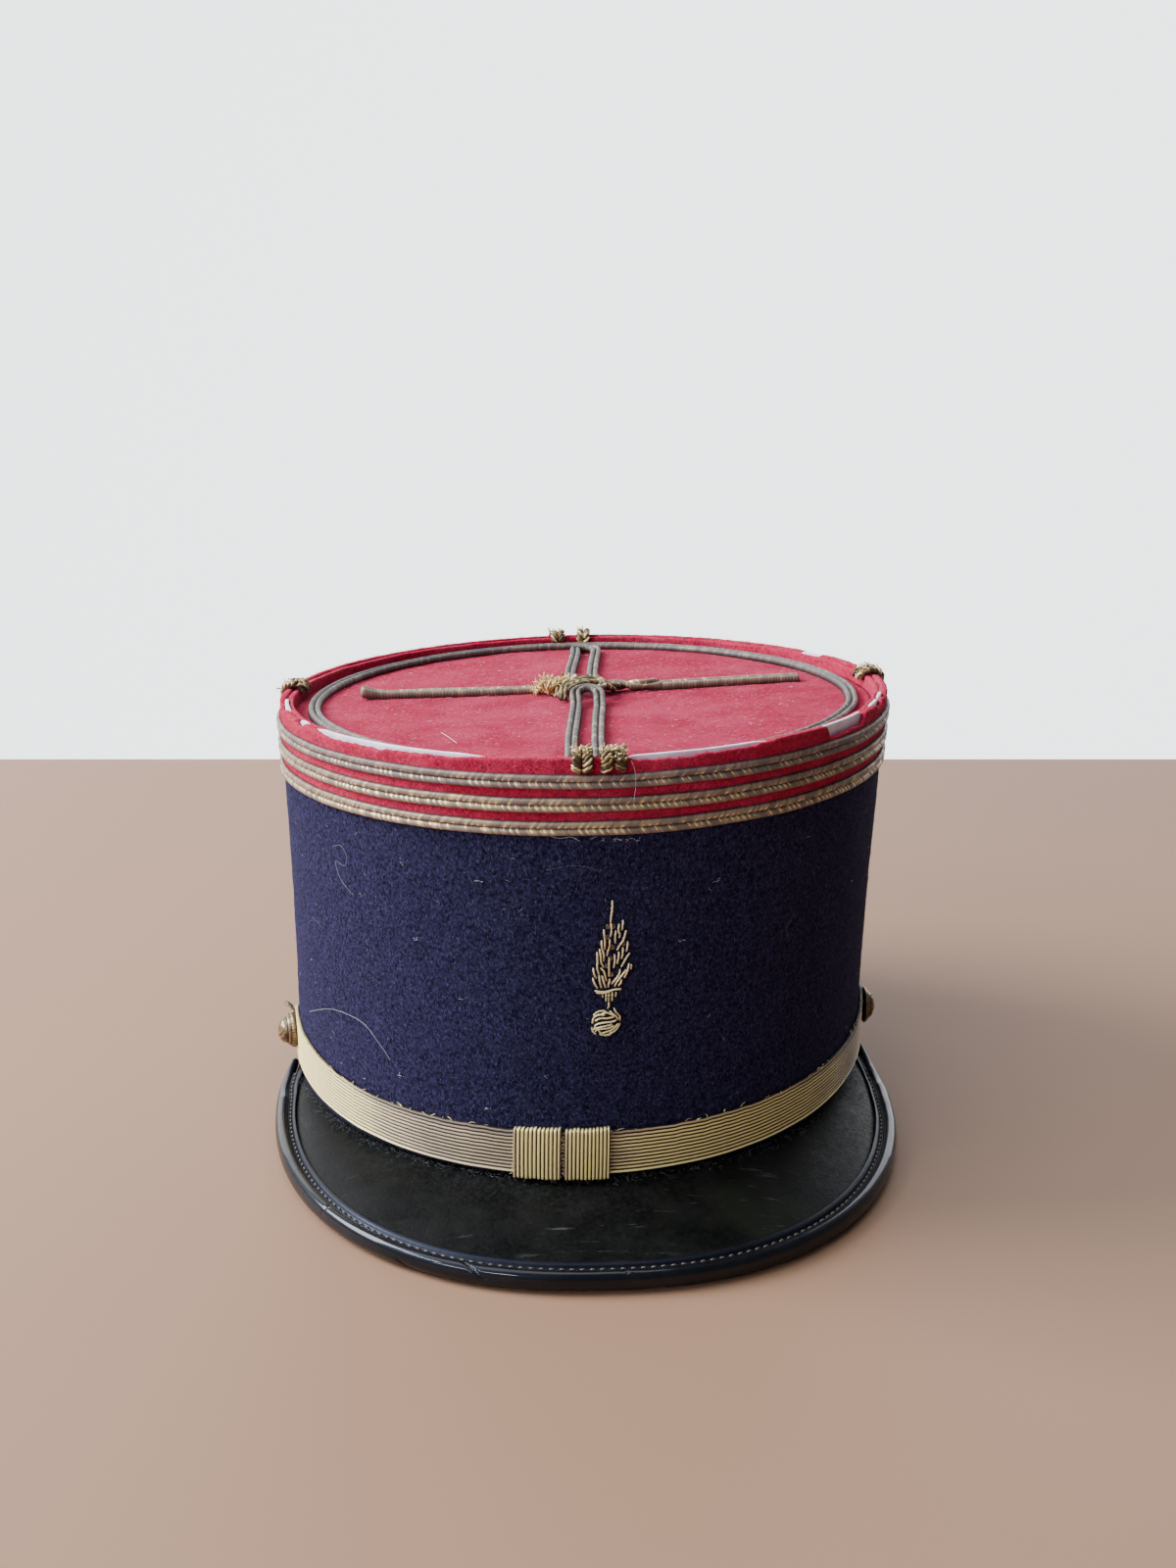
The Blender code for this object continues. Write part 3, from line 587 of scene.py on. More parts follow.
def fibres(name, roots, outs, rng, length, width, lift, material, along=None, lie=0.0):
    """Thin bent hairs that stand on a surface, each a closed sliver."""
    count = len(roots)
    chosen = unit(rng.normal(size=(count, 3)))
    side = unit(chosen - outs * (chosen * outs).sum(-1, keepdims=True))
    if along is not None:
        side = unit(side * (1 - lie) + along * lie)
    cross = unit(np.cross(outs, side))
    size = length * (0.4 + 0.9 * rng.random((count, 1)))
    bend = (rng.random((count, 1)) - 0.5) * 0.9
    rise = lift * (0.3 + 1.1 * rng.random((count, 1)))
    middle = roots + side * size * 0.5 + outs * size * rise * 0.8 + cross * size * bend * 0.3
    tip = roots + side * size + outs * size * rise * (0.6 + 0.9 * rng.random((count, 1)))
    tip = tip + cross * size * bend
    half = width / 2 * (0.7 + 0.6 * rng.random((count, 1)))
    ring = []
    for centre, share in ((roots, 1.0), (middle, 0.8)):
        ring.append(centre + cross * half * share)
        ring.append(centre - cross * half * share)
        ring.append(centre + outs * half * share)
    vertices = np.stack(ring + [tip], 1).reshape(-1, 3)
    pattern = np.array([(0, 1, 4, 3), (1, 2, 5, 4), (2, 0, 3, 5)])
    points = np.array([(3, 4, 6), (4, 5, 6), (5, 3, 6), (0, 2, 1)])
    starts = np.arange(count)[:, None, None] * 7
    faces = (pattern[None] + starts).reshape(-1, 4).tolist()
    faces += (points[None] + starts).reshape(-1, 3).tolist()
    obj = make_object(name, vertices, faces, material, smooth=False)
    add_point_values(obj, "tone", np.repeat(rng.random(count), 7))


def srgb(red, green, blue):
    """A display colour from 0 to 255 as the linear one that nodes take."""
    linear = []
    for value in (red, green, blue):
        share = value / 255
        linear.append(share / 12.92 if share <= 0.04045 else ((share + 0.055) / 1.055) ** 2.4)
    return (*linear, 1.0)


def colour_of(value):
    """Display colours are given as three numbers; sockets pass through."""
    return srgb(*value) if isinstance(value, tuple) else value


class Look:
    """One material, whose nodes take their place from the object's own coordinates."""

    def __init__(self, name, **constants):
        self.material = bpy.data.materials.new(name)
        self.material.use_nodes = True
        self.nodes = self.material.node_tree.nodes
        self.links = self.material.node_tree.links
        self.shader = self.nodes["Principled BSDF"]
        for key, value in constants.items():
            self.shader.inputs[key.replace("_", " ")].default_value = value
        self.place = self.add("TexCoord").outputs["Object"]

    def add(self, kind, inputs=(), **settings):
        node = self.nodes.new("ShaderNode" + kind)
        for key, value in settings.items():
            setattr(node, key, value)
        for key, value in dict(inputs).items():
            if isinstance(value, bpy.types.NodeSocket):
                self.links.new(value, node.inputs[key])
            else:
                node.inputs[key].default_value = value
        return node

    def stretched(self, x, y, z, turn_z=0.0):
        node = self.add("Mapping", {"Vector": self.place, "Scale": (x, y, z), "Rotation": (0, 0, turn_z)})
        return node.outputs["Vector"]

    def noise(self, size, detail=3.0, roughness=0.6, place=None):
        inputs = {"Vector": place or self.place, "Scale": 1 / (size * MM), "Detail": detail,
                  "Roughness": roughness}
        return self.add("TexNoise", inputs).outputs["Fac"]

    def cells(self, size, place=None):
        inputs = {"Vector": place or self.place, "Scale": 1 / (size * MM)}
        return self.add("TexVoronoi", inputs).outputs["Distance"]

    def value(self, name):
        return self.add("Attribute", attribute_name=name).outputs["Fac"]

    def span(self, value, low, high, to_low=0.0, to_high=1.0):
        inputs = {"Value": value, "From Min": low, "From Max": high, "To Min": to_low, "To Max": to_high}
        return self.add("MapRange", inputs).outputs["Result"]

    def sum(self, first, second, way="ADD", clamp=False):
        return self.add("Math", {0: first, 1: second}, operation=way, use_clamp=clamp).outputs[0]

    def times(self, first, second):
        return self.sum(first, second, "MULTIPLY")

    def mix(self, share, first, second):
        inputs = {0: share, 6: colour_of(first), 7: colour_of(second)}
        return self.add("Mix", inputs, data_type="RGBA").outputs[2]

    def bump(self, height, distance):
        inputs = {"Height": height, "Distance": distance * MM, "Strength": 1.0}
        return self.add("Bump", inputs).outputs["Normal"]

    def finish(self, colour=None, roughness=None, normal=None, metallic=None):
        wanted = {"Base Color": colour, "Roughness": roughness, "Normal": normal, "Metallic": metallic}
        for key, socket in wanted.items():
            if socket is not None:
                self.links.new(socket, self.shader.inputs[key])
        return self.material


def navy_felt_look():
    """Worn navy felt: pilled, with paler fibres and a few specks."""
    look = Look("navy_felt_worn", Specular_IOR_Level=0.03, Sheen_Weight=0.05, Sheen_Roughness=0.35,
                Sheen_Tint=srgb(214, 184, 216))
    pills = look.noise(1.0, 5, 0.72)
    fibre = look.noise(0.6, 3, 0.75, look.stretched(1.7, 1.7, 0.75))
    patches = look.noise(26, 3, 0.55)
    dark = look.mix(look.span(patches, 0.35, 0.68), (10, 9, 29), (17, 14, 37))
    colour = look.mix(look.span(pills, 0.38, 0.64), dark, (51, 49, 84))
    colour = look.mix(look.span(fibre, 0.55, 0.70, 0, 0.6), colour, (104, 102, 142))
    colour = look.mix(look.span(fibre, 0.46, 0.34, 0, 0.6), colour, (4, 4, 14))
    specks = look.times(look.span(look.cells(3.4), 0.07, 0.03), look.span(look.noise(9), 0.58, 0.66))
    colour = look.mix(look.times(specks, 0.4), colour, (120, 118, 140))
    height = look.sum(look.times(pills, 0.75), look.times(fibre, 0.25))
    normal = look.bump(height, 0.75)
    roughness = look.span(pills, 0.3, 0.7, 0.85, 1.0)
    return look.finish(colour, roughness, normal)


def red_felt_look(name, deep, plain, faded, fade_amount, fleck_amount, grain=False):
    """Red felt, faded in patches, with pale flecks and small spots of painted shade; a grain gives it a
    brushed nap.
    """
    look = Look(name, Specular_IOR_Level=0.02, Sheen_Weight=0.03 if grain else 0.10, Sheen_Roughness=0.4,
                Sheen_Tint=srgb(255, 170, 190))
    fine_place = look.stretched(1.0, 2.2, 1.0) if grain else None
    pills = look.noise(1.3, 5, 0.72, fine_place)
    fibre = look.noise(0.5, 3, 0.75, fine_place)
    patches = look.noise(19, 3, 0.6)
    colour = look.mix(look.span(pills, 0.36, 0.62), deep, plain)
    fading = look.span(patches, 0.38, 0.66, 0.35 * fade_amount, fade_amount)
    colour = look.mix(fading, colour, faded)
    colour = look.mix(look.span(fibre, 0.48, 0.36, 0, 0.75), colour, deep)
    colour = look.mix(look.span(fibre, 0.60, 0.78, 0, 0.4 * fade_amount), colour, (206, 112, 136))
    spots = look.span(look.cells(2.3, place=fine_place), 0.10, 0.05)
    thinned = look.span(look.noise(11, 2), 0.48, 0.62)
    flecks = look.times(look.times(spots, thinned), fleck_amount)
    colour = look.mix(flecks, colour, (232, 168, 184))
    # Painted shade: scattered small spots of deep red, as in hollows of the felt
    painted_hollow_shade = look.span(look.cells(5.5), 0.085, 0.05)
    painted_hollow_shade = look.times(painted_hollow_shade, look.span(look.noise(17), 0.50, 0.58))
    colour = look.mix(look.times(painted_hollow_shade, 0.7), colour, (86, 10, 30))
    height = look.sum(look.times(pills, 0.7), look.times(fibre, 0.3))
    return look.finish(colour, look.span(pills, 0.3, 0.7, 0.8, 1.0), look.bump(height, 1.7 if grain else 0.8))


def plastic_look():
    """Old white plastic, slightly stained."""
    look = Look("white_plastic_old", Specular_IOR_Level=0.5, Coat_Weight=0.15, Coat_Roughness=0.3)
    stain = look.noise(6, 3, 0.6)
    colour = look.mix(look.span(stain, 0.35, 0.7), (240, 228, 244), (206, 192, 212))
    fine = look.noise(0.8, 3)
    return look.finish(colour, look.span(fine, 0.3, 0.7, 0.35, 0.6), look.bump(fine, 0.05))


def braid_look(name, dull, warm, bright, metal, shift):
    """Tarnished metal thread: dull threads, some of them still bright, with painted shade in the grooves and
    wherever the depth value is low.
    """
    look = Look(name, Specular_IOR_Level=0.4)
    gold = look.value("gold")
    depth = look.value("depth")
    fine = look.noise(0.3, 3, 0.7)
    slow = look.noise(14, 2, 0.6)
    chosen = look.sum(look.sum(gold, look.times(fine, 0.5)), look.times(slow, 0.5))
    chosen = look.sum(chosen, shift)
    colour = look.mix(look.span(chosen, 0.55, 1.05), dull, warm)
    colour = look.mix(look.span(chosen, 1.12, 1.28), colour, bright)
    # Painted shade: low depth values mix in a near-black brown
    groove = look.span(depth, 0.15, 0.75, 0.0, 1.0)
    colour = look.mix(groove, (30, 22, 19), colour)
    metallic = look.span(chosen, 0.9, 1.25, metal * 0.5, metal)
    roughness = look.span(chosen, 0.7, 1.25, 0.58, 0.34)
    return look.finish(colour, roughness, look.bump(fine, 0.06), metallic)


def brass_look():
    """Aged brass, dark in its hollows and worn bright on its crests."""
    look = Look("aged_brass_worn", Specular_IOR_Level=0.5)
    depth = look.value("depth")
    stain = look.noise(1.6, 4, 0.65)
    colour = look.mix(look.span(stain, 0.38, 0.66), (80, 66, 54), (150, 128, 98))
    colour = look.mix(look.span(depth, 0.15, 0.8), (36, 26, 20), colour)
    colour = look.mix(look.span(depth, 0.86, 1.0, 0, 0.5), colour, (206, 178, 132))
    return look.finish(colour, look.span(stain, 0.3, 0.7, 0.5, 0.3), look.bump(stain, 0.05),
                       look.span(stain, 0.3, 0.7, 0.55, 0.85))


def leather_look():
    """Black visor leather: dusty and matt by the band, glossier towards its edge, scuffed all over."""
    look = Look("black_leather_scuffed", Specular_IOR_Level=0.08)
    tone = look.value("tone")
    cloud = look.noise(11, 5, 0.7)
    fine = look.noise(1.1, 4, 0.7)
    grain = look.noise(0.45, 2, 0.6)
    base = look.mix(look.span(cloud, 0.35, 0.7), (2, 2, 3), (18, 19, 18))
    green = look.span(look.noise(34, 2), 0.55, 0.7, 0, 0.5)
    base = look.mix(green, base, (27, 31, 22))
    dusty = look.times(look.span(fine, 0.45, 0.75, 0.0, 0.6), look.span(tone, 0.0, 0.55, 1.0, 0.15))
    colour = look.mix(dusty, base, (46, 47, 46))
    streak_place = look.stretched(0.22, 1.9, 1.0, 0.18)
    streaks = look.span(look.noise(3.0, 6, 0.75, streak_place), 0.60, 0.68)
    streaks = look.times(streaks, look.span(look.noise(30, 2), 0.45, 0.6))
    colour = look.mix(look.times(streaks, 0.42), colour, (88, 92, 90))
    roughness = look.sum(look.span(cloud, 0.3, 0.7, 0.34, 0.50), look.span(tone, 0.1, 0.9, 0.16, -0.04))
    roughness = look.sum(roughness, look.span(fine, 0.4, 0.7, 0.0, 0.16), clamp=True)
    normal = look.bump(look.sum(grain, look.sum(fine, 1.0)), 0.07)
    return look.finish(colour, roughness, normal)


def patent_look(name, specular, gloss):
    """Black polished leather: a broad soft sheen under a thin gloss."""
    look = Look(name, Specular_IOR_Level=specular, Coat_Weight=gloss, Coat_Roughness=0.07,
                Specular_Tint=srgb(196, 212, 255))
    cloud = look.noise(9, 3, 0.6)
    fine = look.noise(0.9, 4, 0.7)
    colour = look.mix(look.span(cloud, 0.35, 0.7), (6, 7, 10), (15, 16, 20))
    colour = look.mix(look.span(fine, 0.64, 0.74, 0, 0.25), colour, (60, 64, 70))
    roughness = look.span(cloud, 0.3, 0.7, 0.38, 0.50)
    return look.finish(colour, roughness, look.bump(look.sum(cloud, look.times(fine, 0.2)), 0.12))


def thread_look(name, dark, light):
    """Short hairs, each of its own tone."""
    look = Look(name, Specular_IOR_Level=0.3, Roughness=0.7)
    tone = look.value("tone")
    fine = look.noise(0.7, 2)
    colour = look.mix(look.span(look.sum(tone, fine), 0.5, 1.4), dark, light)
    return look.finish(colour, None, look.bump(fine, 0.02))


def turn(count):
    """Angles once round the cap."""
    return np.linspace(-math.pi, math.pi, count, endpoint=False)


def make_navy_band(material):
    """Felt band with slow lumps, pilling and a soft turned edge below."""
    angles = turn(BAND_SECTIONS)
    outer = [0.0, 0.0045, 0.011] + list(np.linspace(0.022, 0.985, 60)) + [0.994, 1.0]
    inner = [1.0, 0.85, 0.65, 0.45, 0.25, 0.1, 0.02, 0.0]
    shares = np.array(outer + inner)
    insets = np.array([1.1, 0.35, 0.08] + [0.0] * 60 + [0.1, 0.5] + [BAND_FELT] * 7 + [BAND_FELT - 0.8])
    full = np.linalg.norm(wall(angles, below_top=FELT_JOINT) - wall(angles, above_base=0.0), axis=-1)
    rows = [wall(angles, -inset, above_base=full * share) for share, inset in zip(shares, insets)]
    points = np.stack(rows, 1)
    middle = wall(angles, -30.0, above_base=full * 0.5)[:, None, :]
    out = unit((points - middle) * np.array([1, 1, 0]))
    outside = (np.arange(len(shares)) < len(outer))[None, :]
    lumps = 0.35 * wobble(points, 42.0, 3.0) + 0.14 * wobble(points, 9.0, 8.0)
    pills = 0.16 * wobble(points, 2.1, 5.0)
    points = points + out * ((lumps + pills) * outside - 0.05)[..., None]
    obj = skin("navy_band_felt", points, material)
    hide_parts("navy_band")


def ramp_between(angle_degrees, start, end, soft):
    """1 between two angles and 0 outside, with soft ends."""
    rise = held((angle_degrees - start) / soft + 0.5)
    fall = held((end - angle_degrees) / soft + 0.5)
    return rise * fall


def rim_wear(angles):
    """How far the outer felt's edge has worn down, with a ragged line."""
    degrees = np.degrees(angles)
    worn = np.zeros_like(angles)
    for start, end, depth, soft in WORN_RIM:
        worn = np.maximum(worn, depth * ramp_between(degrees, start, end, soft))
    places = wall(angles)
    ragged = 0.30 * wobble(places, 1.7, 2.0) + 0.28 * wobble(places, 5.0, 4.0)
    start, end, height = RIM_FOLD
    fold = height * ramp_between(degrees, start, end, 3.0)
    bare = held(worn / 0.7)
    return worn + ragged * np.clip(0.35 + worn, 0, 1.0), fold, bare


def make_red_crown(material):
    """Red felt of the rim, worn off its edge in places, and the strip between the stripes."""
    angles = turn(CROWN_SECTIONS)
    worn, fold, bare = rim_wear(angles)
    closing = 0.75 * (1 - bare)
    edge = RIM_HEIGHT - worn + 0.55 * fold
    inner_edge = RIM_HEIGHT - 0.35 + 0.25 * wobble(wall(angles), 6.0, 9.0)
    ledge = TOP_FELT + TOP_SINK - RIM_HEIGHT + CLEARANCE
    slot_inner = -RIM_OUTER_FELT - STIFFENER_THICKNESS - 2 * CLEARANCE
    slot_floor = STIFFENER_HEIGHT + CLEARANCE - RIM_HEIGHT
    flat = np.zeros_like(angles)
    rows = []
    lean = fold * 0.5

    def add(out, drop, push=0.0):
        rows.append(wall(angles, out + flat + push, below_top=drop + flat))

    joint = FELT_JOINT - CLEARANCE
    for share in np.linspace(0, 1, 22):
        drop = joint * (1 - share)
        add(0.0, drop)
    for share in (0.25, 0.5, 0.75, 0.9):
        add(0.0, -(edge - 0.5) * share, lean * share)
    thickness = RIM_OUTER_FELT
    for out, below in ((-0.03, 0.30), (-0.2, 0.10), (-0.45, 0.0), (-0.8, 0.0), (-1.05, 0.12), (-1.18, 0.4)):
        add(out * thickness / 1.2, -(edge - below), lean + closing * out / 1.2)
    add(-thickness, (slot_floor - edge) / 2)
    add(-thickness, slot_floor)
    add(slot_inner, slot_floor)
    add(slot_inner, -inner_edge + 1.0)
    for out, below in ((0.0, 0.4), (-0.12, 0.12), (-0.4, 0.0), (-0.7, 0.0), (-0.92, 0.14), (-1.0, 0.45)):
        add(slot_inner + out * RIM_INNER_FELT, -(inner_edge - below), closing * (1 + out))
    for share in np.linspace(0.1, 1, 9):
        add(-RIM_THICKNESS, -(inner_edge - 0.45) * (1 - share) + (ledge + 0.9) * share)
    add(-RIM_THICKNESS + 0.3, ledge + 1.6)
    add(-BAND_FELT, ledge + RIM_THICKNESS)
    add(-BAND_FELT, (ledge + RIM_THICKNESS + joint) / 2)
    add(-BAND_FELT, joint)
    points = np.stack(rows, 1)
    outside = (np.arange(len(rows)) < 32)[None, :]
    normal = unit((points - wall(angles, -30.0, below_top=0.0)[:, None, :]) * np.array([1, 1, 0]))
    rough = 0.14 * wobble(points, 1.5, 6.0) + 0.16 * wobble(points, 6.5, 2.0)
    points = points + normal * (rough * np.where(outside, 1.0, 0.35))[..., None]
    obj = skin("red_crown_felt", points, material)
    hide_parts("red_crown")


def make_stiffener(material):
    """Pale strip inside the rim, which shows where the felt is worn."""
    angles = turn(STIFFENER_SECTIONS)
    outer = -RIM_OUTER_FELT - CLEARANCE
    inner = outer - STIFFENER_THICKNESS
    foot = STIFFENER_HEIGHT - RIM_HEIGHT
    top = -RIM_HEIGHT
    section = ((outer, foot), (outer, foot / 2), (outer, 0), (outer, top / 2), (outer, top + 0.35),
               (outer - 0.06, top + 0.14), (outer - 0.22, top + 0.02), (inner + 0.22, top + 0.02),
               (inner + 0.06, top + 0.14), (inner, top + 0.35), (inner, top / 2), (inner, 0),
               (inner, foot))
    _, _, bare = rim_wear(angles)
    wave = 0.12 * wobble(wall(angles), 13.0, 7.0) + 0.85 * (1 - bare)
    points = np.stack([wall(angles, out, below_top=drop + wave) for out, drop in section], 1)
    obj = skin("rim_stiffener_strip", points, material)
    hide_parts("rim_stiffener")


def top_plan(angles, share):
    """Plan points of the sunken top, by shares of the way from its middle to the rim."""
    outline = wall(angles, -RIM_THICKNESS - 0.1)
    centre = np.array([*top_place(0, 0), 0.0])
    return centre + (outline - centre) * share


def make_crown_top(material):
    """Sunken felt top with slight waves and a compressed nap."""
    shares = np.concatenate([[0.004], np.linspace(0.03, 0.985, 62), [1.0]])
    angles = turn(TOP_SECTIONS)
    plan = np.stack([top_plan(angles, share) for share in shares], 1)
    upper = on_top(plan[..., 0], plan[..., 1])
    waves = 0.22 * wobble(upper, 33.0, 1.0) + 0.12 * wobble(upper, 8.0, 4.0) + 0.10 * wobble(upper, 2.4, 6.0)
    upper[..., 2] += waves - 0.08
    lower = on_top(plan[..., 0], plan[..., 1], -TOP_FELT)[:, ::-1][:, ::6]
    points = np.concatenate([upper, lower], 1)
    obj = skin("crown_top_felt", points, material)
    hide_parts("crown_top")


def make_stripes(look_for):
    """Three lengths of braid round the crown, each two ribs of slanting threads."""
    for index, place in enumerate(("upper", "middle", "lower")):
        curve = lambda angle, drop=index * STRIPE_PITCH: wall(angle, below_top=drop)
        angles = even(curve, -math.pi, math.pi, STRIPE_SECTIONS + 1)
        angles = angles[:-1]
        sway = 0.20 * wobble(wall(angles), 21.0, 3.0 + index)
        middle = index * STRIPE_PITCH + STRIPE_WIDTH / 2 + sway
        centres = wall(angles, 0.0, below_top=middle)
        above = wall(angles, 0.0, below_top=middle - 0.5)
        down = unit(centres - above)
        ahead = np.roll(centres, -1, axis=0) - np.roll(centres, 1, axis=0)
        out = unit(np.cross(down, unit(ahead)))
        facing = np.sign((out * (centres - np.array([0, -5.0, 0]))).sum(-1, keepdims=True))
        bundle = Bundle()
        width = STRIPE_WIDTH * (1 + 0.05 * wobble(centres, 15.0, 6.0 + index))
        braid(bundle, centres, down, out * facing, width, STRIPE_THICKNESS + 0.15, per_rib=6, pitch=0.8,
              slant=1.6, relief=0.16, valley=0.14, seed=2.0 + index, gold=(0.12, 0.22, 0.28)[index],
              spread=0.7, closed=True, glint=(0.7, 0.95, 1.0)[index])
        bundle.build("braid_stripe_" + place + "_threads", look_for[index],
                     ["braid_stripe_" + place])


def make_ring(material):
    """Braid laid round the sunken top."""
    def curve(angle):
        point, _ = oval(TOP_HALF_WIDTH - RING_INSET_SIDE, TOP_HALF_LENGTH - RING_INSET_END, angle)
        return on_top(point[..., 0] + top_place(0, 0)[0], point[..., 1] + top_place(0, 0)[1], 0.05)

    angles = even(curve, -math.pi, math.pi, RING_SECTIONS + 1)
    centres = curve(angles[:-1])
    right, up = frames(centres, closed=True)
    centres = centres + right * (0.25 * wobble(centres, 17.0, 2.0))[:, None]
    bundle = Bundle()
    braid(bundle, centres, right, up, RING_WIDTH, BRAID_THICKNESS + 0.3, per_rib=7, pitch=0.95, slant=1.5,
          relief=0.24, valley=0.0, seed=7.0, gold=0.12, spread=0.8, closed=True)
    bundle.build("top_braid_ring_threads", material, ["top_braid_ring"])


def lay_path(plan, lift=0.05, step=0.21):
    """A path of plan points laid on the sunken top."""
    points = smooth_path([(x, y, 0.0) for x, y in plan], step)
    return on_top(points[:, 0], points[:, 1], lift)


def make_loops(material):
    """Two long loops of braid, one towards the front and one towards the back."""
    radius = LOOP_SPREAD / 2
    for name, open_x, open_y, arch_x, arch_y in (
            ("front", -0.042, -0.880, 0.012, -0.050), ("back", 0.004, 0.195, 0.058, 0.868)):
        foot, crest = top_place(open_x, open_y), top_place(arch_x, arch_y)
        along = (crest - foot) / np.linalg.norm(crest - foot)
        side = np.array([along[1], -along[0]])
        hub = crest - along * (radius + LOOP_BRAID_WIDTH / 2)
        plan = [foot + (hub - foot) * share - side * radius * (1 + 0.10 * math.sin(5 * share))
                for share in (0.0, 0.33, 0.66, 0.95)]
        for swing in np.linspace(0.25, math.pi - 0.25, 7):
            plan.append(hub - side * radius * math.cos(swing) + along * radius * math.sin(swing))
        plan += [foot + (hub - foot) * share + side * radius * (1 - 0.08 * math.sin(4 * share))
                 for share in (0.95, 0.66, 0.33, 0.0)]
        centres = lay_path(plan)
        right, up = frames(centres)
        lengths, total = path_lengths(centres)
        near_arch = held(np.abs(lengths - total / 2) / ARCH_REACH)
        rise = (ARCH_LIFT if name == "front" else 0.3) * (0.5 + 0.5 * np.cos(math.pi * near_arch))
        centres = centres + np.array([0, 0, 1.0]) * rise[:, None]
        bundle = Bundle()
        braid(bundle, centres, right, up, LOOP_BRAID_WIDTH, BRAID_THICKNESS + 0.4, per_rib=8, pitch=0.95,
              slant=1.4, relief=0.28, valley=0.0, seed=9.0, gold=0.2, spread=0.9, ends=0.6)
        bundle.build("braid_loop_" + name + "_threads", material, ["braid_loop_" + name])


def make_arms(material):
    """The crossing braid: it lies flat, and twists over itself where it meets the knot."""
    for name, outer, inner, rolls, raised in (
            ("left", (-0.745, 0.100), (-0.128, 0.115), (), True),
            ("right", (0.760, 0.183), (0.060, 0.100), (0.70, 1.0, 2.0), False)):
        start, end = top_place(*outer), top_place(*inner)
        plan = []
        for share in np.linspace(0, 1, 7):
            bow = 0.5 * math.sin(math.pi * share * 1.7)
            plan.append(start + (end - start) * share + np.array([0, bow]))
        centres = lay_path(plan)
        count = len(centres)
        share = np.linspace(0, 1, count)
        right, up = frames(centres)
        width = ARM_BRAID_WIDTH * (1 - 0.05 * np.sin(share * 9))
        height = np.full(count, ARM_BRAID_THICKNESS - 0.2)
        if rolls:
            begin, finish, turns = rolls
            roll = math.pi * turns * held((share - begin) / (finish - begin))
            lift = np.abs(np.sin(roll)) * ARM_BRAID_WIDTH * 0.16 + 0.35 * (roll > 0)
            centres = centres + up * lift[:, None]
            tilt = 0.9 * np.sin(roll)
            right, up = (right * np.cos(tilt)[:, None] + up * np.sin(tilt)[:, None],
                         up * np.cos(tilt)[:, None] - right * np.sin(tilt)[:, None])
            width = width * (1 - 0.35 * np.abs(np.sin(roll)))
        if raised:
            centres = centres + up * (1.0 * held(1 - share / 0.10) ** 1.5)[:, None]
            width = width * (0.9 + 0.25 * held(1 - share / 0.12))
            height = height + 0.9 * held(1 - share / 0.16)
        bundle = Bundle()
        braid(bundle, centres, right, up, width, height, per_rib=7, pitch=0.9, slant=1.4, relief=0.16,
              valley=0.25, seed=4.0, gold=0.3, spread=0.6, ends=1.0, glint=0.6)
        bundle.build("braid_arm_" + name + "_threads", material, ["braid_arm_" + name])


def over_knot(x, y, lift):
    """A place given in millimetres from the knot's middle, above the sunken top."""
    centre = top_place(*KNOT_CENTRE)
    return on_top(np.asarray(centre[0] + x), np.asarray(centre[1] + y), lift)


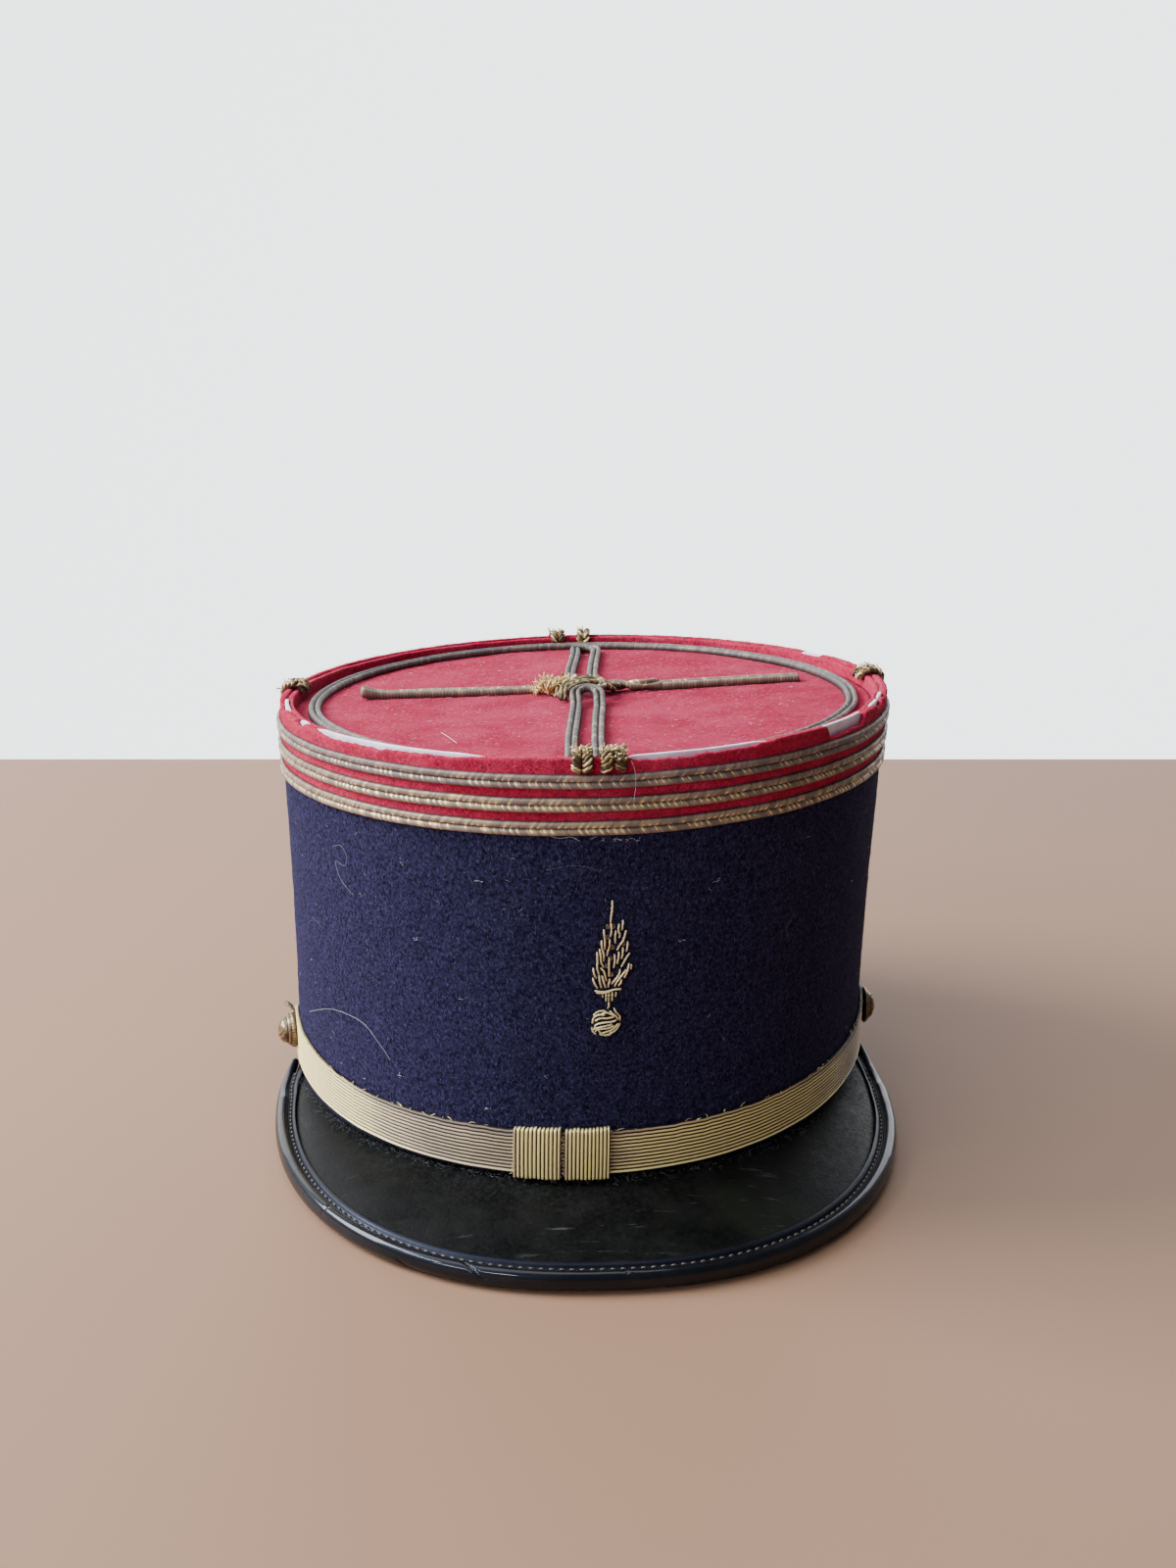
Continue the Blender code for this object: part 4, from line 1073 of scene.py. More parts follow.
def make_knot(material, rng):
    """Braid turned over the crossing, with a sheaf of bullion that stands on it."""
    bundle = Bundle()
    turns = (
        # width, then places as x, y and lift
        (3.4, ((-6.4, -9.6, 0.4), (-5.4, -8.6, 1.9), (-2.5, -6.4, 3.2), (1.5, -4.6, 3.7), (5.0, -3.2, 3.0),
               (7.4, -2.4, 1.4), (8.4, -2.0, 0.4))),
        (3.0, ((-6.2, -3.4, 0.8), (-3.5, -2.2, 3.1), (0.5, -1.0, 4.0), (4.5, -0.2, 3.2), (7.6, 0.2, 1.8),
               (10.6, 0.6, 1.4))),
        (2.3, ((-5.9, -13.0, 0.5), (-5.7, -9.6, 2.5), (-5.1, -6.0, 3.0), (-4.7, -2.5, 1.6))),
        (2.2, ((3.4, -11.6, 3.0), (4.9, -8.6, 3.0), (5.2, -5.2, 3.2), (4.4, -1.5, 3.6), (3.2, 1.8, 2.4))),
    )
    for index, (width, places) in enumerate(turns):
        path = smooth_path([over_knot(x, y, z) for x, y, z in places], 0.2)
        right, up = frames(path)
        braid(bundle, path, right, up, width, 1.3, per_rib=6, pitch=0.85, slant=1.5, relief=0.2,
              valley=0.25, seed=3 + index, gold=0.3, spread=1.0, ends=0.8)
    for index in range(6):
        shift = rng.normal(0, 0.5)
        path = [over_knot(x + shift * 0.4, y + shift, z + rng.uniform(0.6, 1.1)) for x, y, z in
                ((-4.6, -8.0, 1.6), (-2.0, -6.0, 2.8), (1.5, -4.4, 3.2), (5.4, -2.9, 2.0))]
        cord_tube(bundle, smooth_path(path, 0.25), rng.uniform(0.25, 0.4), sides=7, gold=rng.uniform(0, 1.0),
                  turns=1.0, ply=0.22, tip=0.4)
    for index in range(8):
        x = -3.4 + 0.92 * index
        foot = over_knot(x, -1.2 + rng.normal(0, 0.3), 2.0)
        bend = over_knot(x + 0.8, 0.2, 3.6 + rng.normal(0, 0.2))
        tip = over_knot(x + 2.0 + rng.normal(0, 0.25), 1.4, 4.9 + rng.uniform(-0.5, 0.5))
        cord_tube(bundle, smooth_path([foot, bend, tip], 0.25), 0.46, sides=9, gold=(1.0, 0.1)[index % 2],
                  turns=0.9, ply=0.22, tip=0.4)
    for _ in range(34):
        x = rng.uniform(-5.0, 5.2)
        aim = np.array([rng.normal(0.4, 0.5), rng.normal(0.0, 0.5), rng.uniform(0.3, 1.0)])
        root = over_knot(x, rng.uniform(-3.0, 1.0), 2.6)
        size = rng.uniform(1.2, 2.4)
        bend = root + unit(aim) * size * 0.5 + rng.normal(size=3) * 0.25
        path = smooth_path([root, bend, root + unit(aim) * size], 0.25)
        cord_tube(bundle, path, rng.uniform(0.22, 0.38), sides=7, gold=rng.uniform(0.0, 1.1), turns=1.0,
                  ply=0.2, tip=0.3)
    bundle.build("centre_knot_braid", material, ["centre_knot"])


def make_tuft(material, rng):
    """Frayed ends of the braid to the left of the knot, in two crests, with finer hairs."""
    tuft = Bundle()
    for _ in range(300):
        x = rng.uniform(-13.9, -3.0)
        crest = 1.3 + 3.6 * math.exp(-((x + 10.0) / 1.7) ** 2) + 4.2 * math.exp(-((x + 5.2) / 1.5) ** 2)
        crest = crest + 1.6 * math.exp(-((x + 7.6) / 2.0) ** 2)
        root = over_knot(x + rng.uniform(0.0, 0.8), rng.normal(0.2, 1.2), rng.uniform(0.4, 1.8))
        aim = np.array([rng.normal(-0.15, 0.5), rng.normal(0.0, 0.6), rng.uniform(0.35, 1.1)])
        size = crest * rng.uniform(0.45, 1.0)
        curl = rng.normal(size=3) * 0.20 * size
        middle = root + unit(aim) * size * 0.5 + curl
        tip = root + unit(aim) * size
        tip[2] = max(tip[2], on_top(tip[0], tip[1], 0.3)[2])
        path = smooth_path([root, middle, tip], 0.5)
        cord_tube(tuft, path, rng.uniform(0.14, 0.30), sides=5, gold=rng.uniform(0.0, 1.1), tip=0.5)
    for _ in range(34):
        x = rng.uniform(-15.0, -5.0)
        root = over_knot(x, rng.normal(0.6, 0.8), rng.uniform(0.8, 2.0))
        tip = root + np.array([rng.normal(-0.7, 1.0), rng.normal(0.6, 0.9), rng.uniform(0.6, 3.4)])
        path = smooth_path([root, (root + tip) / 2 + rng.normal(size=3) * 0.35, tip], 0.6)
        cord_tube(tuft, path, 0.06, sides=4, gold=0.9, tip=0.4)
    tuft.build("centre_knot_tuft", material, ["centre_knot"])


def rim_path(angle):
    """A path that saddles the rim, with the directions across it and away from the rim."""
    inner_end = TOP_SINK - RIM_HEIGHT - BRAID_THICKNESS - 2 * CLEARANCE
    profile = (
        # distance off the felt, drop below the top stripe
        (0.15, -0.8), (0.2, -1.9), (0.2, -RIM_HEIGHT + 0.3), (-0.5, -RIM_HEIGHT - 0.35),
        (-RIM_THICKNESS + 0.6, -RIM_HEIGHT - 0.35), (-RIM_THICKNESS - 0.25, -RIM_HEIGHT + 0.5),
        (-RIM_THICKNESS - 0.3, inner_end),
    )
    angle = np.array(angle)
    line = smooth_path([wall(angle, out, below_top=drop) for out, drop in profile], 0.3)
    _, right, _, _ = wall_frame(angle, wall_length(angle) - 1.0)
    right = np.broadcast_to(right, line.shape)
    up = unit(np.cross(right, unit(np.gradient(line, axis=0))))
    return line, right, up * np.sign((up[:1] * (line[:1] - np.array([0, 0, 110.0]))).sum() or 1)


def wind_cords(bundle, line, right, up, width, offset, hand, swell, rng):
    """Twisted cords wound slantwise over one rib of a rim wrap."""
    lengths, total = path_lengths(line)
    across = np.linspace(-0.46, 0.46, 9) * width
    dome = swell * np.sqrt(np.clip(1 - (2 * across / width) ** 2, 0.03, 1))
    place = 0.4
    while place < total - 0.3:
        drift = hand * 1.5 * (across / width + 0.5) + rng.normal(0, 0.12)
        spots = np.clip(place + drift - hand * 0.75, 0.1, total - 0.1)
        feet, lifts = (np.stack([np.interp(spots, lengths, values[:, axis]) for axis in range(3)], -1)
                       for values in (line, up))
        path = feet + right[:1] * (offset + across)[:, None] + unit(lifts) * dome[:, None]
        cord_tube(bundle, path, rng.uniform(0.26, 0.40), sides=6, gold=rng.choice([0.0, 0.25, 0.6, 1.1]),
                  turns=0.8, ply=0.22, tip=0.3)
        place += rng.uniform(0.62, 0.95)


def fray_wrap(bundle, line, right, up, width, count, rng):
    """Short frayed ends that stand on a rim wrap."""
    for _ in range(count):
        spot = rng.integers(int(len(line) * 0.30), int(len(line) * 0.72))
        root = line[spot] + right[spot] * rng.uniform(-0.52, 0.52) * WRAP_WIDTH * width + up[spot] * 1.2
        aim = unit(up[spot] * rng.uniform(0.3, 1.0) + rng.normal(size=3) * 0.5)
        size = rng.uniform(0.5, 1.5)
        tip = root + aim * size + rng.normal(size=3) * 0.2
        cord_tube(bundle, smooth_path([root, root + aim * size * 0.5, tip], 0.3), rng.uniform(0.14, 0.28),
                  sides=5, gold=rng.uniform(0.55, 1.0), turns=1.0, ply=0.2, tip=0.25)


def make_wraps(material, rng):
    """Braid that saddles the rim, with short frayed ends on the front ones."""
    wraps = (
        # name, degrees, width, frayed ends, ribs
        ("front_left", -3.6, 0.95, 34, 2),
        ("front_right", 1.9, 1.15, 40, 2),
        ("back_left", 183.0, 0.90, 8, 2),
        ("back_right", 176.4, 0.80, 8, 2),
        ("left", -98.5, 1.50, 12, 3),
        ("right", 94.5, 1.35, 16, 3),
    )
    for name, degrees, width, frayed, ribs in wraps:
        line, right, up = rim_path(math.radians(degrees))
        bundle = Bundle()
        rib_width = WRAP_WIDTH * width / ribs
        for rib in range(ribs):
            offset = (rib - (ribs - 1) / 2) * rib_width * 1.04
            swing = 0.25 * np.sin(np.linspace(0, 3, len(line)) + rib)[:, None]
            swell = 1.2 + 0.3 * rng.random()
            braid(bundle, line + right * (offset + swing), right, up, rib_width * 0.92, swell - 0.35, ribs=1,
                  per_rib=9, pitch=0.9, slant=1.3, relief=0.18, valley=0.1, seed=rib + degrees,
                  gold=0.1, spread=0.4, ends=0.5)
            hand = 1 if (rib + (degrees > 0)) % 2 else -1
            wind_cords(bundle, line, right, up, rib_width, offset, hand, swell, rng)
        fray_wrap(bundle, line, right, up, width, frayed, rng)
        bundle.build("rim_wrap_" + name + "_threads", material, ["rim_wrap_" + name])


def badge_at(across, drop, lift):
    """Points over the badge's place: millimetres right of its middle and below its tip."""
    across = BADGE_SHIFT + BADGE_STRETCH * np.asarray(across, float)
    drop = BADGE_STRETCH * np.asarray(drop, float)
    angle = np.arcsin((BADGE_ASIDE + across) / BASE_HALF_WIDTH)
    return wall(angle, lift, above_base=wall_length(angle) - BADGE_DROP - drop)


def badge_strand(bundle, plan, radius, gold, lift=0.5, crown=0.5):
    """A twisted metal thread laid on the felt through places of the badge."""
    flat = smooth_path([(x, y, 0.0) for x, y in plan], 0.22)
    share = np.linspace(0, 1, len(flat))
    rise = lift + crown * np.sin(math.pi * share)
    path = badge_at(flat[:, 0], flat[:, 1], rise)
    cord_tube(bundle, path, radius, sides=9, gold=gold, turns=1.25, ply=0.20, tip=0.3, seed=gold * 9,
              facing=BADGE_PAINTED_LIGHT_AIM)


def make_badge(material, rng):
    """Embroidered flame of separate wavy threads over a ball of swirled ones."""
    bundle = Bundle()
    for index, plan in enumerate(FLAME_STRANDS):
        across = index >= len(FLAME_STRANDS) - FLAME_COLLAR
        lift = 1.0 if across else 0.35 + 0.13 * (index % 3)
        badge_strand(bundle, plan, 0.25, rng.uniform(0.75, 1.25), lift, 0.1 if across else 0.4)
    for x, y in FLAME_COILS:
        coil = [(x + 0.42 * math.cos(a), y + 0.42 * math.sin(a)) for a in np.linspace(0, TAU * 1.05, 9)]
        badge_strand(bundle, coil, 0.19, 0.1, 0.3, 0.1)
        badge_strand(bundle, ((x - 0.2, y), (x, y + 0.1), (x + 0.2, y)), 0.2, 0.3, 0.3, 0.1)
    bundle.build("badge_flame_threads", material, ["badge_flame"])

    ball = Bundle()
    centre_x, centre_y, reach_x, reach_y = -0.7, 29.4, 3.75, 3.45
    for plan in BALL_STRANDS:
        flat = smooth_path([(x, y, 0.0) for x, y in plan], 0.22)
        away = np.hypot((flat[:, 0] - centre_x) / reach_x, (flat[:, 1] - centre_y) / reach_y)
        rise = 0.35 + 1.2 * np.sqrt(held(1 - away ** 2)) + 0.4 * (len(plan) % 2)
        path = badge_at(flat[:, 0], flat[:, 1], rise)
        cord_tube(ball, path, 0.23, sides=9, gold=rng.uniform(0.7, 1.25), turns=1.2, ply=0.2, tip=0.25,
                  facing=BADGE_PAINTED_LIGHT_AIM)
    # A dome under the strands, painted in full shade so the gaps between them read dark
    angles = np.arange(28) * TAU / 28
    rounds = np.array([1.0, 1.0, 0.9, 0.62, 0.25, 0.03])
    lifts = np.array([0.05, 0.25, 0.6, 0.95, 1.15, 1.2])
    x = centre_x + reach_x * 0.84 * rounds[:, None] * np.cos(angles)[None, :]
    y = centre_y + reach_y * 0.84 * rounds[:, None] * np.sin(angles)[None, :]
    ball.add_grid(badge_at(x, y, np.broadcast_to(lifts[:, None], x.shape)), 0.0, 0.0)
    ball.build("badge_ball_threads", material, ["badge_ball"])


def strap_low(angle):
    """Height of the strap's lower edge, which climbs towards the buttons."""
    return STRAP_FRONT_RISE + STRAP_RISE * (np.abs(angle) / BUTTON_ANGLE) ** STRAP_RISE_POWER


def make_chin_strap(material, rng):
    """Flat woven strap of lengthwise ribs, worn and ragged along its upper edge."""
    ribs, per_rib = STRAP_RIBS, 6
    curve = lambda angle: wall(angle, above_base=strap_low(angle))
    angles = even(curve, -STRAP_END_ANGLE, STRAP_END_ANGLE, STRAP_SECTIONS)
    cols = ribs * per_rib + 1
    across = np.linspace(0, 1, cols)
    beyond = np.clip(np.abs(angles) - BUTTON_ANGLE, 0, None) / (STRAP_END_ANGLE - BUTTON_ANGLE)
    trim = STRAP_END_TRIM * beyond ** 2
    places = wall(angles)
    low = strap_low(angles) + trim + 0.10 * wobble(places, 7.0, 1.0)
    ragged = 0.22 * wobble(places, 5.0, 2.0) + 0.12 * wobble(places, 1.3, 3.0)
    high = strap_low(angles) + STRAP_WIDTH - trim + ragged
    phase = across * ribs
    crest = np.abs(np.sin(math.pi * phase)) ** 0.7
    heights = low[:, None] + (high - low)[:, None] * across[None, :]
    sag = 0.18 * wobble(places, 16.0, 5.0)[:, None]
    worn = held(wobble(places, 11.0, 6.0))[:, None] * held((across - 0.8) / 0.2)[None, :]
    welted = 0.28 * held(1 - across * ribs)[None, :]
    out = 0.2 + STRAP_THICKNESS - 0.36 + 0.40 * crest[None, :] + sag - 0.3 * worn + welted
    out[:, 0] = out[:, -1] = 0.25
    angle_grid = np.broadcast_to(angles[:, None], heights.shape)
    points = wall(angle_grid, out, above_base=heights)
    bundle = Bundle()
    picked = scatter_value(np.floor(phase), 3.0)[None, :] * 0.5
    edge_bright = 0.35 * held(1 - across / 0.12)[None, :]
    pale_end = 0.55 * held((-np.degrees(angles) - 38) / 30)[:, None]
    dull_top = -0.55 * held((across - 0.86) / 0.10)[None, :]
    slow = 0.22 * wobble(places, 19.0, 8.0)[:, None]
    degrees = np.degrees(angles)[:, None]
    # Painted light and shade by place round the cap: darker at the front left, lighter from the front towards
    # the right, and darker again towards the right end
    painted_light_and_shade = -0.42 * np.exp(-((degrees + 22) / 17) ** 2) + 0.42 * held((degrees - 4) / 20)
    painted_light_and_shade = painted_light_and_shade - 0.6 * held((degrees - 36) / 25)
    gold = np.clip(0.62 + 0.3 * picked + edge_bright + 1.4 * pale_end + dull_top + slow + painted_light_and_shade, 0, 1.6)
    depth = held(1.1 * crest[None, :] ** 3.4 + 0.5 * pale_end - 0.35 * worn)
    bundle.add_grid(points, gold, depth)
    for _ in range(70):
        spot = rng.integers(12, len(angles) - 12)
        start = wall(angles[spot], 0.8, above_base=high[spot] - 0.4)
        reach = rng.uniform(0.6, 2.6) * (1 if rng.random() < 0.5 else -1)
        end_angle = angles[spot] + reach / 88
        tip = wall(end_angle, 0.5 + rng.uniform(0, 0.9), above_base=high[spot] + rng.uniform(0.1, 0.9))
        cord_tube(bundle, smooth_path([start, (start + tip) / 2 + rng.normal(size=3) * 0.2, tip], 0.5),
                  rng.uniform(0.07, 0.14), sides=4, gold=rng.uniform(0.2, 0.9), tip=0.4)
    bundle.build("chin_strap_woven", material, ["chin_strap"])


def add_slide(bundle, side, outer):
    """One keeper of upright ribs, and the lines along its lower and upper edges."""
    per_rib = 8
    reach = SLIDE_WIDTH - CLEARANCE / 2
    inner = CLEARANCE + STRAP_THICKNESS + 0.1
    steps = np.linspace(0, 1, STRAP_RIBS * per_rib + 1)
    asides = SLIDE_JOINT_ASIDE + side * (0.35 + (reach - 0.35) * steps)
    angles = np.arcsin(asides / BASE_HALF_WIDTH)
    phase = steps * STRAP_RIBS
    crest = np.abs(np.sin(math.pi * phase)) ** 0.7
    uneven = 0.28 * (scatter_value(np.floor(phase), 5.0 + side) - 0.5)
    lean = side * 0.35 * (steps - 0.5)
    low = strap_low(angles) - SLIDE_THICKNESS + uneven * 0.6 - 0.1 * lean
    high = strap_low(angles) + STRAP_WIDTH + SLIDE_THICKNESS + uneven + lean
    edge = np.clip(np.minimum(steps, 1 - steps) / 0.03, 0.35, 1)
    section = (
        # distance off the felt, share of the height, share of the ribs' relief
        (0.3, -0.01, 0), (0.55 * outer, -0.016, 0.6), (outer - 0.25, -0.006, 1), (outer - 0.05, 0.02, 1),
        (outer, 0.06, 1), (outer + 0.1, 0.2, 1), (outer + 0.16, 0.35, 1), (outer + 0.18, 0.5, 1),
        (outer + 0.16, 0.65, 1), (outer + 0.1, 0.8, 1), (outer, 0.94, 1), (outer - 0.05, 0.98, 1),
        (outer - 0.25, 1.006, 1), (0.55 * outer, 1.016, 0.6), (0.3, 1.01, 0), (0.3, 0.985, 0),
        (inner, 0.96, 0), (inner, 0.5, 0), (inner, 0.04, 0), (0.3, 0.015, 0),
    )
    rows = []
    for out, share, relief in section:
        outs = (out * edge if relief else out) + (0.44 * crest - 0.24) * relief
        rows.append(wall(angles, outs, above_base=low + (high - low) * share))
    picked = scatter_value(np.floor(phase), 8.0 + side)[:, None]
    # Painted shade at both ends of the keeper, where it meets the other keeper and at its far edge, and a
    # painted highlight in a band across its middle
    dull = 0.45 * (held(1 - steps / 0.10) + held((steps - 0.93) / 0.07))[:, None]
    painted_highlight = np.exp(-((steps - (0.3 if side < 0 else 0.45)) / 0.28) ** 2)[:, None]
    gold = np.clip(0.85 + 0.18 * picked + 0.6 * painted_highlight - 1.6 * dull, 0, 1.5)
    reliefs = np.array([relief for _, _, relief in section])
    depth = held(1.1 * crest ** 2.5)[:, None] * (0.3 + 0.7 * reliefs)[None, :]
    bundle.add_grid(np.stack(rows, 1), gold, depth)
    return angles, low, high


def make_slides(material, rng):
    """Two keepers of upright cords, folded over the strap's edges, with loose threads at their sides."""
    outer = 2 * CLEARANCE + STRAP_THICKNESS + SLIDE_THICKNESS
    for name, side in (("left", -1), ("right", 1)):
        bundle = Bundle()
        angles, low, high = add_slide(bundle, side, outer)
        for index in range(16):
            spot = 1 if index % 3 else -2
            height = low[spot] + (high[spot] - low[spot]) * rng.uniform(0.05, 0.95)
            start = wall(angles[spot], outer - 0.2, above_base=height)
            away = side * (-1 if spot == 1 else 1) * rng.uniform(0.1, 0.8)
            tip = wall(angles[spot] + away / 85, outer + rng.uniform(-0.5, 0.4),
                       above_base=height + rng.normal(0, 0.6))
            cord_tube(bundle, smooth_path([start, (start + tip) / 2, tip], 0.35), 0.09, sides=4,
                      gold=rng.uniform(0.1, 0.6), tip=0.3)
        bundle.build("strap_slide_" + name + "_cords", material, ["strap_slide_" + name])


def make_buttons(material):
    """Stepped rim round a domed face with plain raised grains."""
    seat = CLEARANCE + STRAP_THICKNESS + CLEARANCE
    profile = (
        # radius, height, depth of colour
        (0.02, 0.00, 0.1), (0.94, 0.00, 0.1), (1.00, 0.08, 0.7), (0.995, 0.16, 1.0), (0.965, 0.26, 0.9),
        (0.92, 0.30, 0.5), (0.88, 0.29, 0.15), (0.855, 0.36, 0.6), (0.83, 0.45, 0.95), (0.79, 0.49, 0.9),
        (0.755, 0.49, 0.3), (0.73, 0.50, 0.1), (0.70, 0.62, 0.6), (0.64, 0.74, 0.9), (0.56, 0.83, 0.9),
        (0.47, 0.89, 0.9), (0.38, 0.935, 0.9), (0.29, 0.965, 0.9), (0.20, 0.985, 0.9), (0.11, 0.995, 0.9),
        (0.02, 1.00, 0.9),
    )
    around = np.arange(72) * TAU / 72
    for name, side, depth, lift in (("left", -1, BUTTON_DEPTH, 0.0),
                                    ("right", 1, RIGHT_BUTTON_DEPTH, RIGHT_BUTTON_LIFT)):
        angle = np.array(side * BUTTON_ANGLE)
        here, right, up, out = wall_frame(angle, strap_low(angle) + STRAP_WIDTH / 2 + lift)
        out = np.array(Matrix.Rotation(-math.radians(BUTTON_SWAY), 3, "Z") @ Vector(out))
        right = unit(np.cross(up, out))
        foot = here + out * seat
        rows, shades = [], []
        for radius, rise, tone in profile:
            size = radius * BUTTON_DIAMETER / 2
            grains = 0.0
            if 0.05 < radius < 0.72:
                grains = 0.16 * np.cos(around * 9 + radius * 14) * np.cos(radius * 34)
                grains = grains + 0.12 * np.cos(around * 5 - radius * 21)
            if 0.9 < radius:
                grains = 0.05 * np.cos(around * 36)
            height = rise * depth + grains
            ring = (right * np.cos(around)[:, None] + up * np.sin(around)[:, None]) * size
            rows.append(foot + ring + out * np.broadcast_to(height, around.shape)[:, None])
            shades.append(held(tone + 2.2 * grains + 0 * around))
        bundle = Bundle()
        bundle.add_grid(np.stack(rows), 0.5, np.stack(shades))
        bundle.build("button_" + name + "_domed", material, ["button_" + name])


def make_strap_tip(material):
    """End of the strap, which stands up behind the left button."""
    angle = -BUTTON_ANGLE - math.radians(1.2)
    low = strap_low(np.array(BUTTON_ANGLE)) + STRAP_WIDTH / 2
    places = ((1.2, 0.8, 0.0), (4.4, 1.2, 0.0), (6.1, 2.0, 0.4), (7.0, 3.3, 0.9), (6.7, 4.3, 1.4))
    line = smooth_path([wall(np.array(angle - math.radians(aside)), out, above_base=low + rise)
                        for rise, out, aside in places], 0.15)
    _, across, _, _ = wall_frame(np.array(angle), low)
    across = np.broadcast_to(across, line.shape)
    ahead = unit(np.gradient(line, axis=0))
    up = unit(np.cross(ahead, across))
    up = up * np.sign(up[:1, 0] * -1)
    bundle = Bundle()
    braid(bundle, line, across, up, 3.4, 0.8, per_rib=5, pitch=0.8, slant=0.5, relief=0.12, valley=0.3,
          seed=5.0, gold=0.5, spread=0.7, ends=0.4)
    bundle.build("chin_strap_tip", material, ["chin_strap"])


def bead_centre(angle):
    """Middle of the rolled edge with its outward normal and its half sizes, which shrink near the ends."""
    angle = np.asarray(angle, float)
    late = np.clip(np.abs(angle) - BEAD_LIFT_ANGLE, 0, None) / (BEAD_END_ANGLE - BEAD_LIFT_ANGLE)
    half_width = BEAD_WIDTH / 2 * (1 - BEAD_TAPER * late)
    half_height = BEAD_HEIGHT / 2 * (1 - BEAD_TAPER * late)
    point, normal = oval(VISOR_HALF_WIDTH, VISOR_REACH - VISOR_BACK, angle, VISOR_POWER)
    point[..., 1] -= VISOR_BACK
    degrees = np.degrees(np.abs(angle))
    left = 2.1 * held((degrees - 88.0) / 6.0) ** 1.5 - 0.2
    right = 0.35 * held((degrees - 76.0) / 6.0) + 3.9 * held((degrees - 84.0) / 10.0) ** 2
    drawn = np.where(angle < 0, left, right)
    point = point - normal * half_width[..., None]
    point[..., 0] -= np.sign(point[..., 0]) * drawn
    point[..., 2] = half_height + (base_level(point) + BEAD_END_RISE - half_height) * late ** 2
    return point, normal, half_width, half_height


def even_bead_angles(end, steps):
    """Angles evenly spaced along the rolled edge."""
    return even(lambda angle: bead_centre(angle)[0], -end, end, steps + 1)


def visor_point(angle, across, lift=0.0):
    """Points of the visor's upper face: across runs from the seam under the band to the rolled edge."""
    angle = np.asarray(angle, float)
    seam = wall(angle * VISOR_SEAM_ANGLE / VISOR_EDGE_ANGLE, -BAND_FELT, above_base=0.0)
    seam[..., 2] = base_level(seam) - CLEARANCE
    centre, normal, half_width, _ = bead_centre(angle)
    edge = centre - normal * (half_width + CLEARANCE)[..., None]
    edge[..., 2] = centre[..., 2] + VISOR_THICKNESS / 2
    across = np.asarray(across, float)
    point = seam + (edge - seam) * across[..., None]
    share = np.minimum(np.linalg.norm(edge - seam, axis=-1) / VISOR_CROWN_WIDTH, 1.0)
    point[..., 2] += VISOR_CROWN * np.sin(math.pi * across) * share + lift
    return point


def make_visor(material):
    """Visor sheet, slightly domed, with a groove along the rolled edge."""
    angles = even_bead_angles(VISOR_FILL_ANGLE, VISOR_SECTIONS)
    shares = np.concatenate([np.linspace(0, 0.93, 38), np.linspace(0.94, 1, 17)])
    angle_grid, share_grid = np.meshgrid(angles, shares, indexing="ij")
    upper = visor_point(angle_grid, share_grid)
    buckle = 0.22 * wobble(upper, 24.0, 4.0) + 0.05 * wobble(upper, 5.0, 2.0)
    upper[..., 2] += buckle * np.sin(math.pi * share_grid)
    width = np.linalg.norm(upper[:, -1] - upper[:, 0], axis=-1)[:, None]
    from_edge = (1 - share_grid) * width
    upper[..., 2] -= EDGE_GROOVE * held(1 - from_edge / 0.8) ** 0.5
    lower = visor_point(angle_grid[:, ::5], share_grid[:, ::5], -VISOR_THICKNESS)[:, ::-1]
    points = np.concatenate([upper, lower], 1)
    tone = np.concatenate([share_grid, np.full(lower.shape[:2], 0.8)], 1)
    obj = skin("visor_leather", points, material, wrap_along=False, tone=tone)
    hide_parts("visor")


def make_bead(material):
    """Rolled edge with a slanting cut and a short crack in it."""
    angles = even_bead_angles(BEAD_END_ANGLE, BEAD_SECTIONS)
    centres, normals, half_widths, half_heights = bead_centre(angles)
    around = (np.arange(BEAD_SIDES) + 0.5) * TAU / BEAD_SIDES
    lengths, _ = path_lengths(centres)
    size = np.ones((len(angles), BEAD_SIDES))
    marks = (
        # place across the front, slant, width, share of the depth, from and to degrees round the section
        (-29.0, -3.6, 0.40, 0.26, -60, 110),
        (7.0, -6.0, 0.22, 0.12, 20, 75),
        (-66.0, 0.5, 0.35, 0.08, 10, 100),
    )
    for aside, slant, width, depth, begin, finish in marks:
        front = np.abs(angles) < 1.2
        spot = np.argmin(np.where(front, np.abs(centres[:, 0] - aside), 1e9))
        off_middle = around - math.radians((begin + finish) / 2)
        gap = (lengths - lengths[spot])[:, None] - slant * off_middle[None, :]
        degrees = (np.degrees(around) + 180) % 360 - 180
        window = ramp_between(degrees, begin, finish, 25)[None, :]
        size = size - depth * np.exp(-(gap / width) ** 2) * window
        if depth > 0.2:
            step = 0.10 * held(1 - np.clip(gap, 0, None) / 9.0) * (gap > 0)
            size = size - step * window
    side = signed_power(np.cos(around), 0.93)
    rise = signed_power(np.sin(around), 0.93)
    ring = (normals[:, None, :] * (half_widths[:, None] * side[None, :])[..., None]
            + np.array([0, 0, 1.0]) * (half_heights[:, None] * rise[None, :])[..., None])
    points = centres[:, None, :] + ring * size[..., None]
    dents = 0.02 * wobble(points, 7.0, 3.0)
    points = points + ring * dents[..., None]
    points[..., 2] += BEAD_UNDERCUT * held(-rise)[None, :]
    points[..., 2] = np.maximum(points[..., 2], 0.01)
    obj = skin("visor_bead_rolled", points, material, wrap_along=False)
    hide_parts("visor_bead")


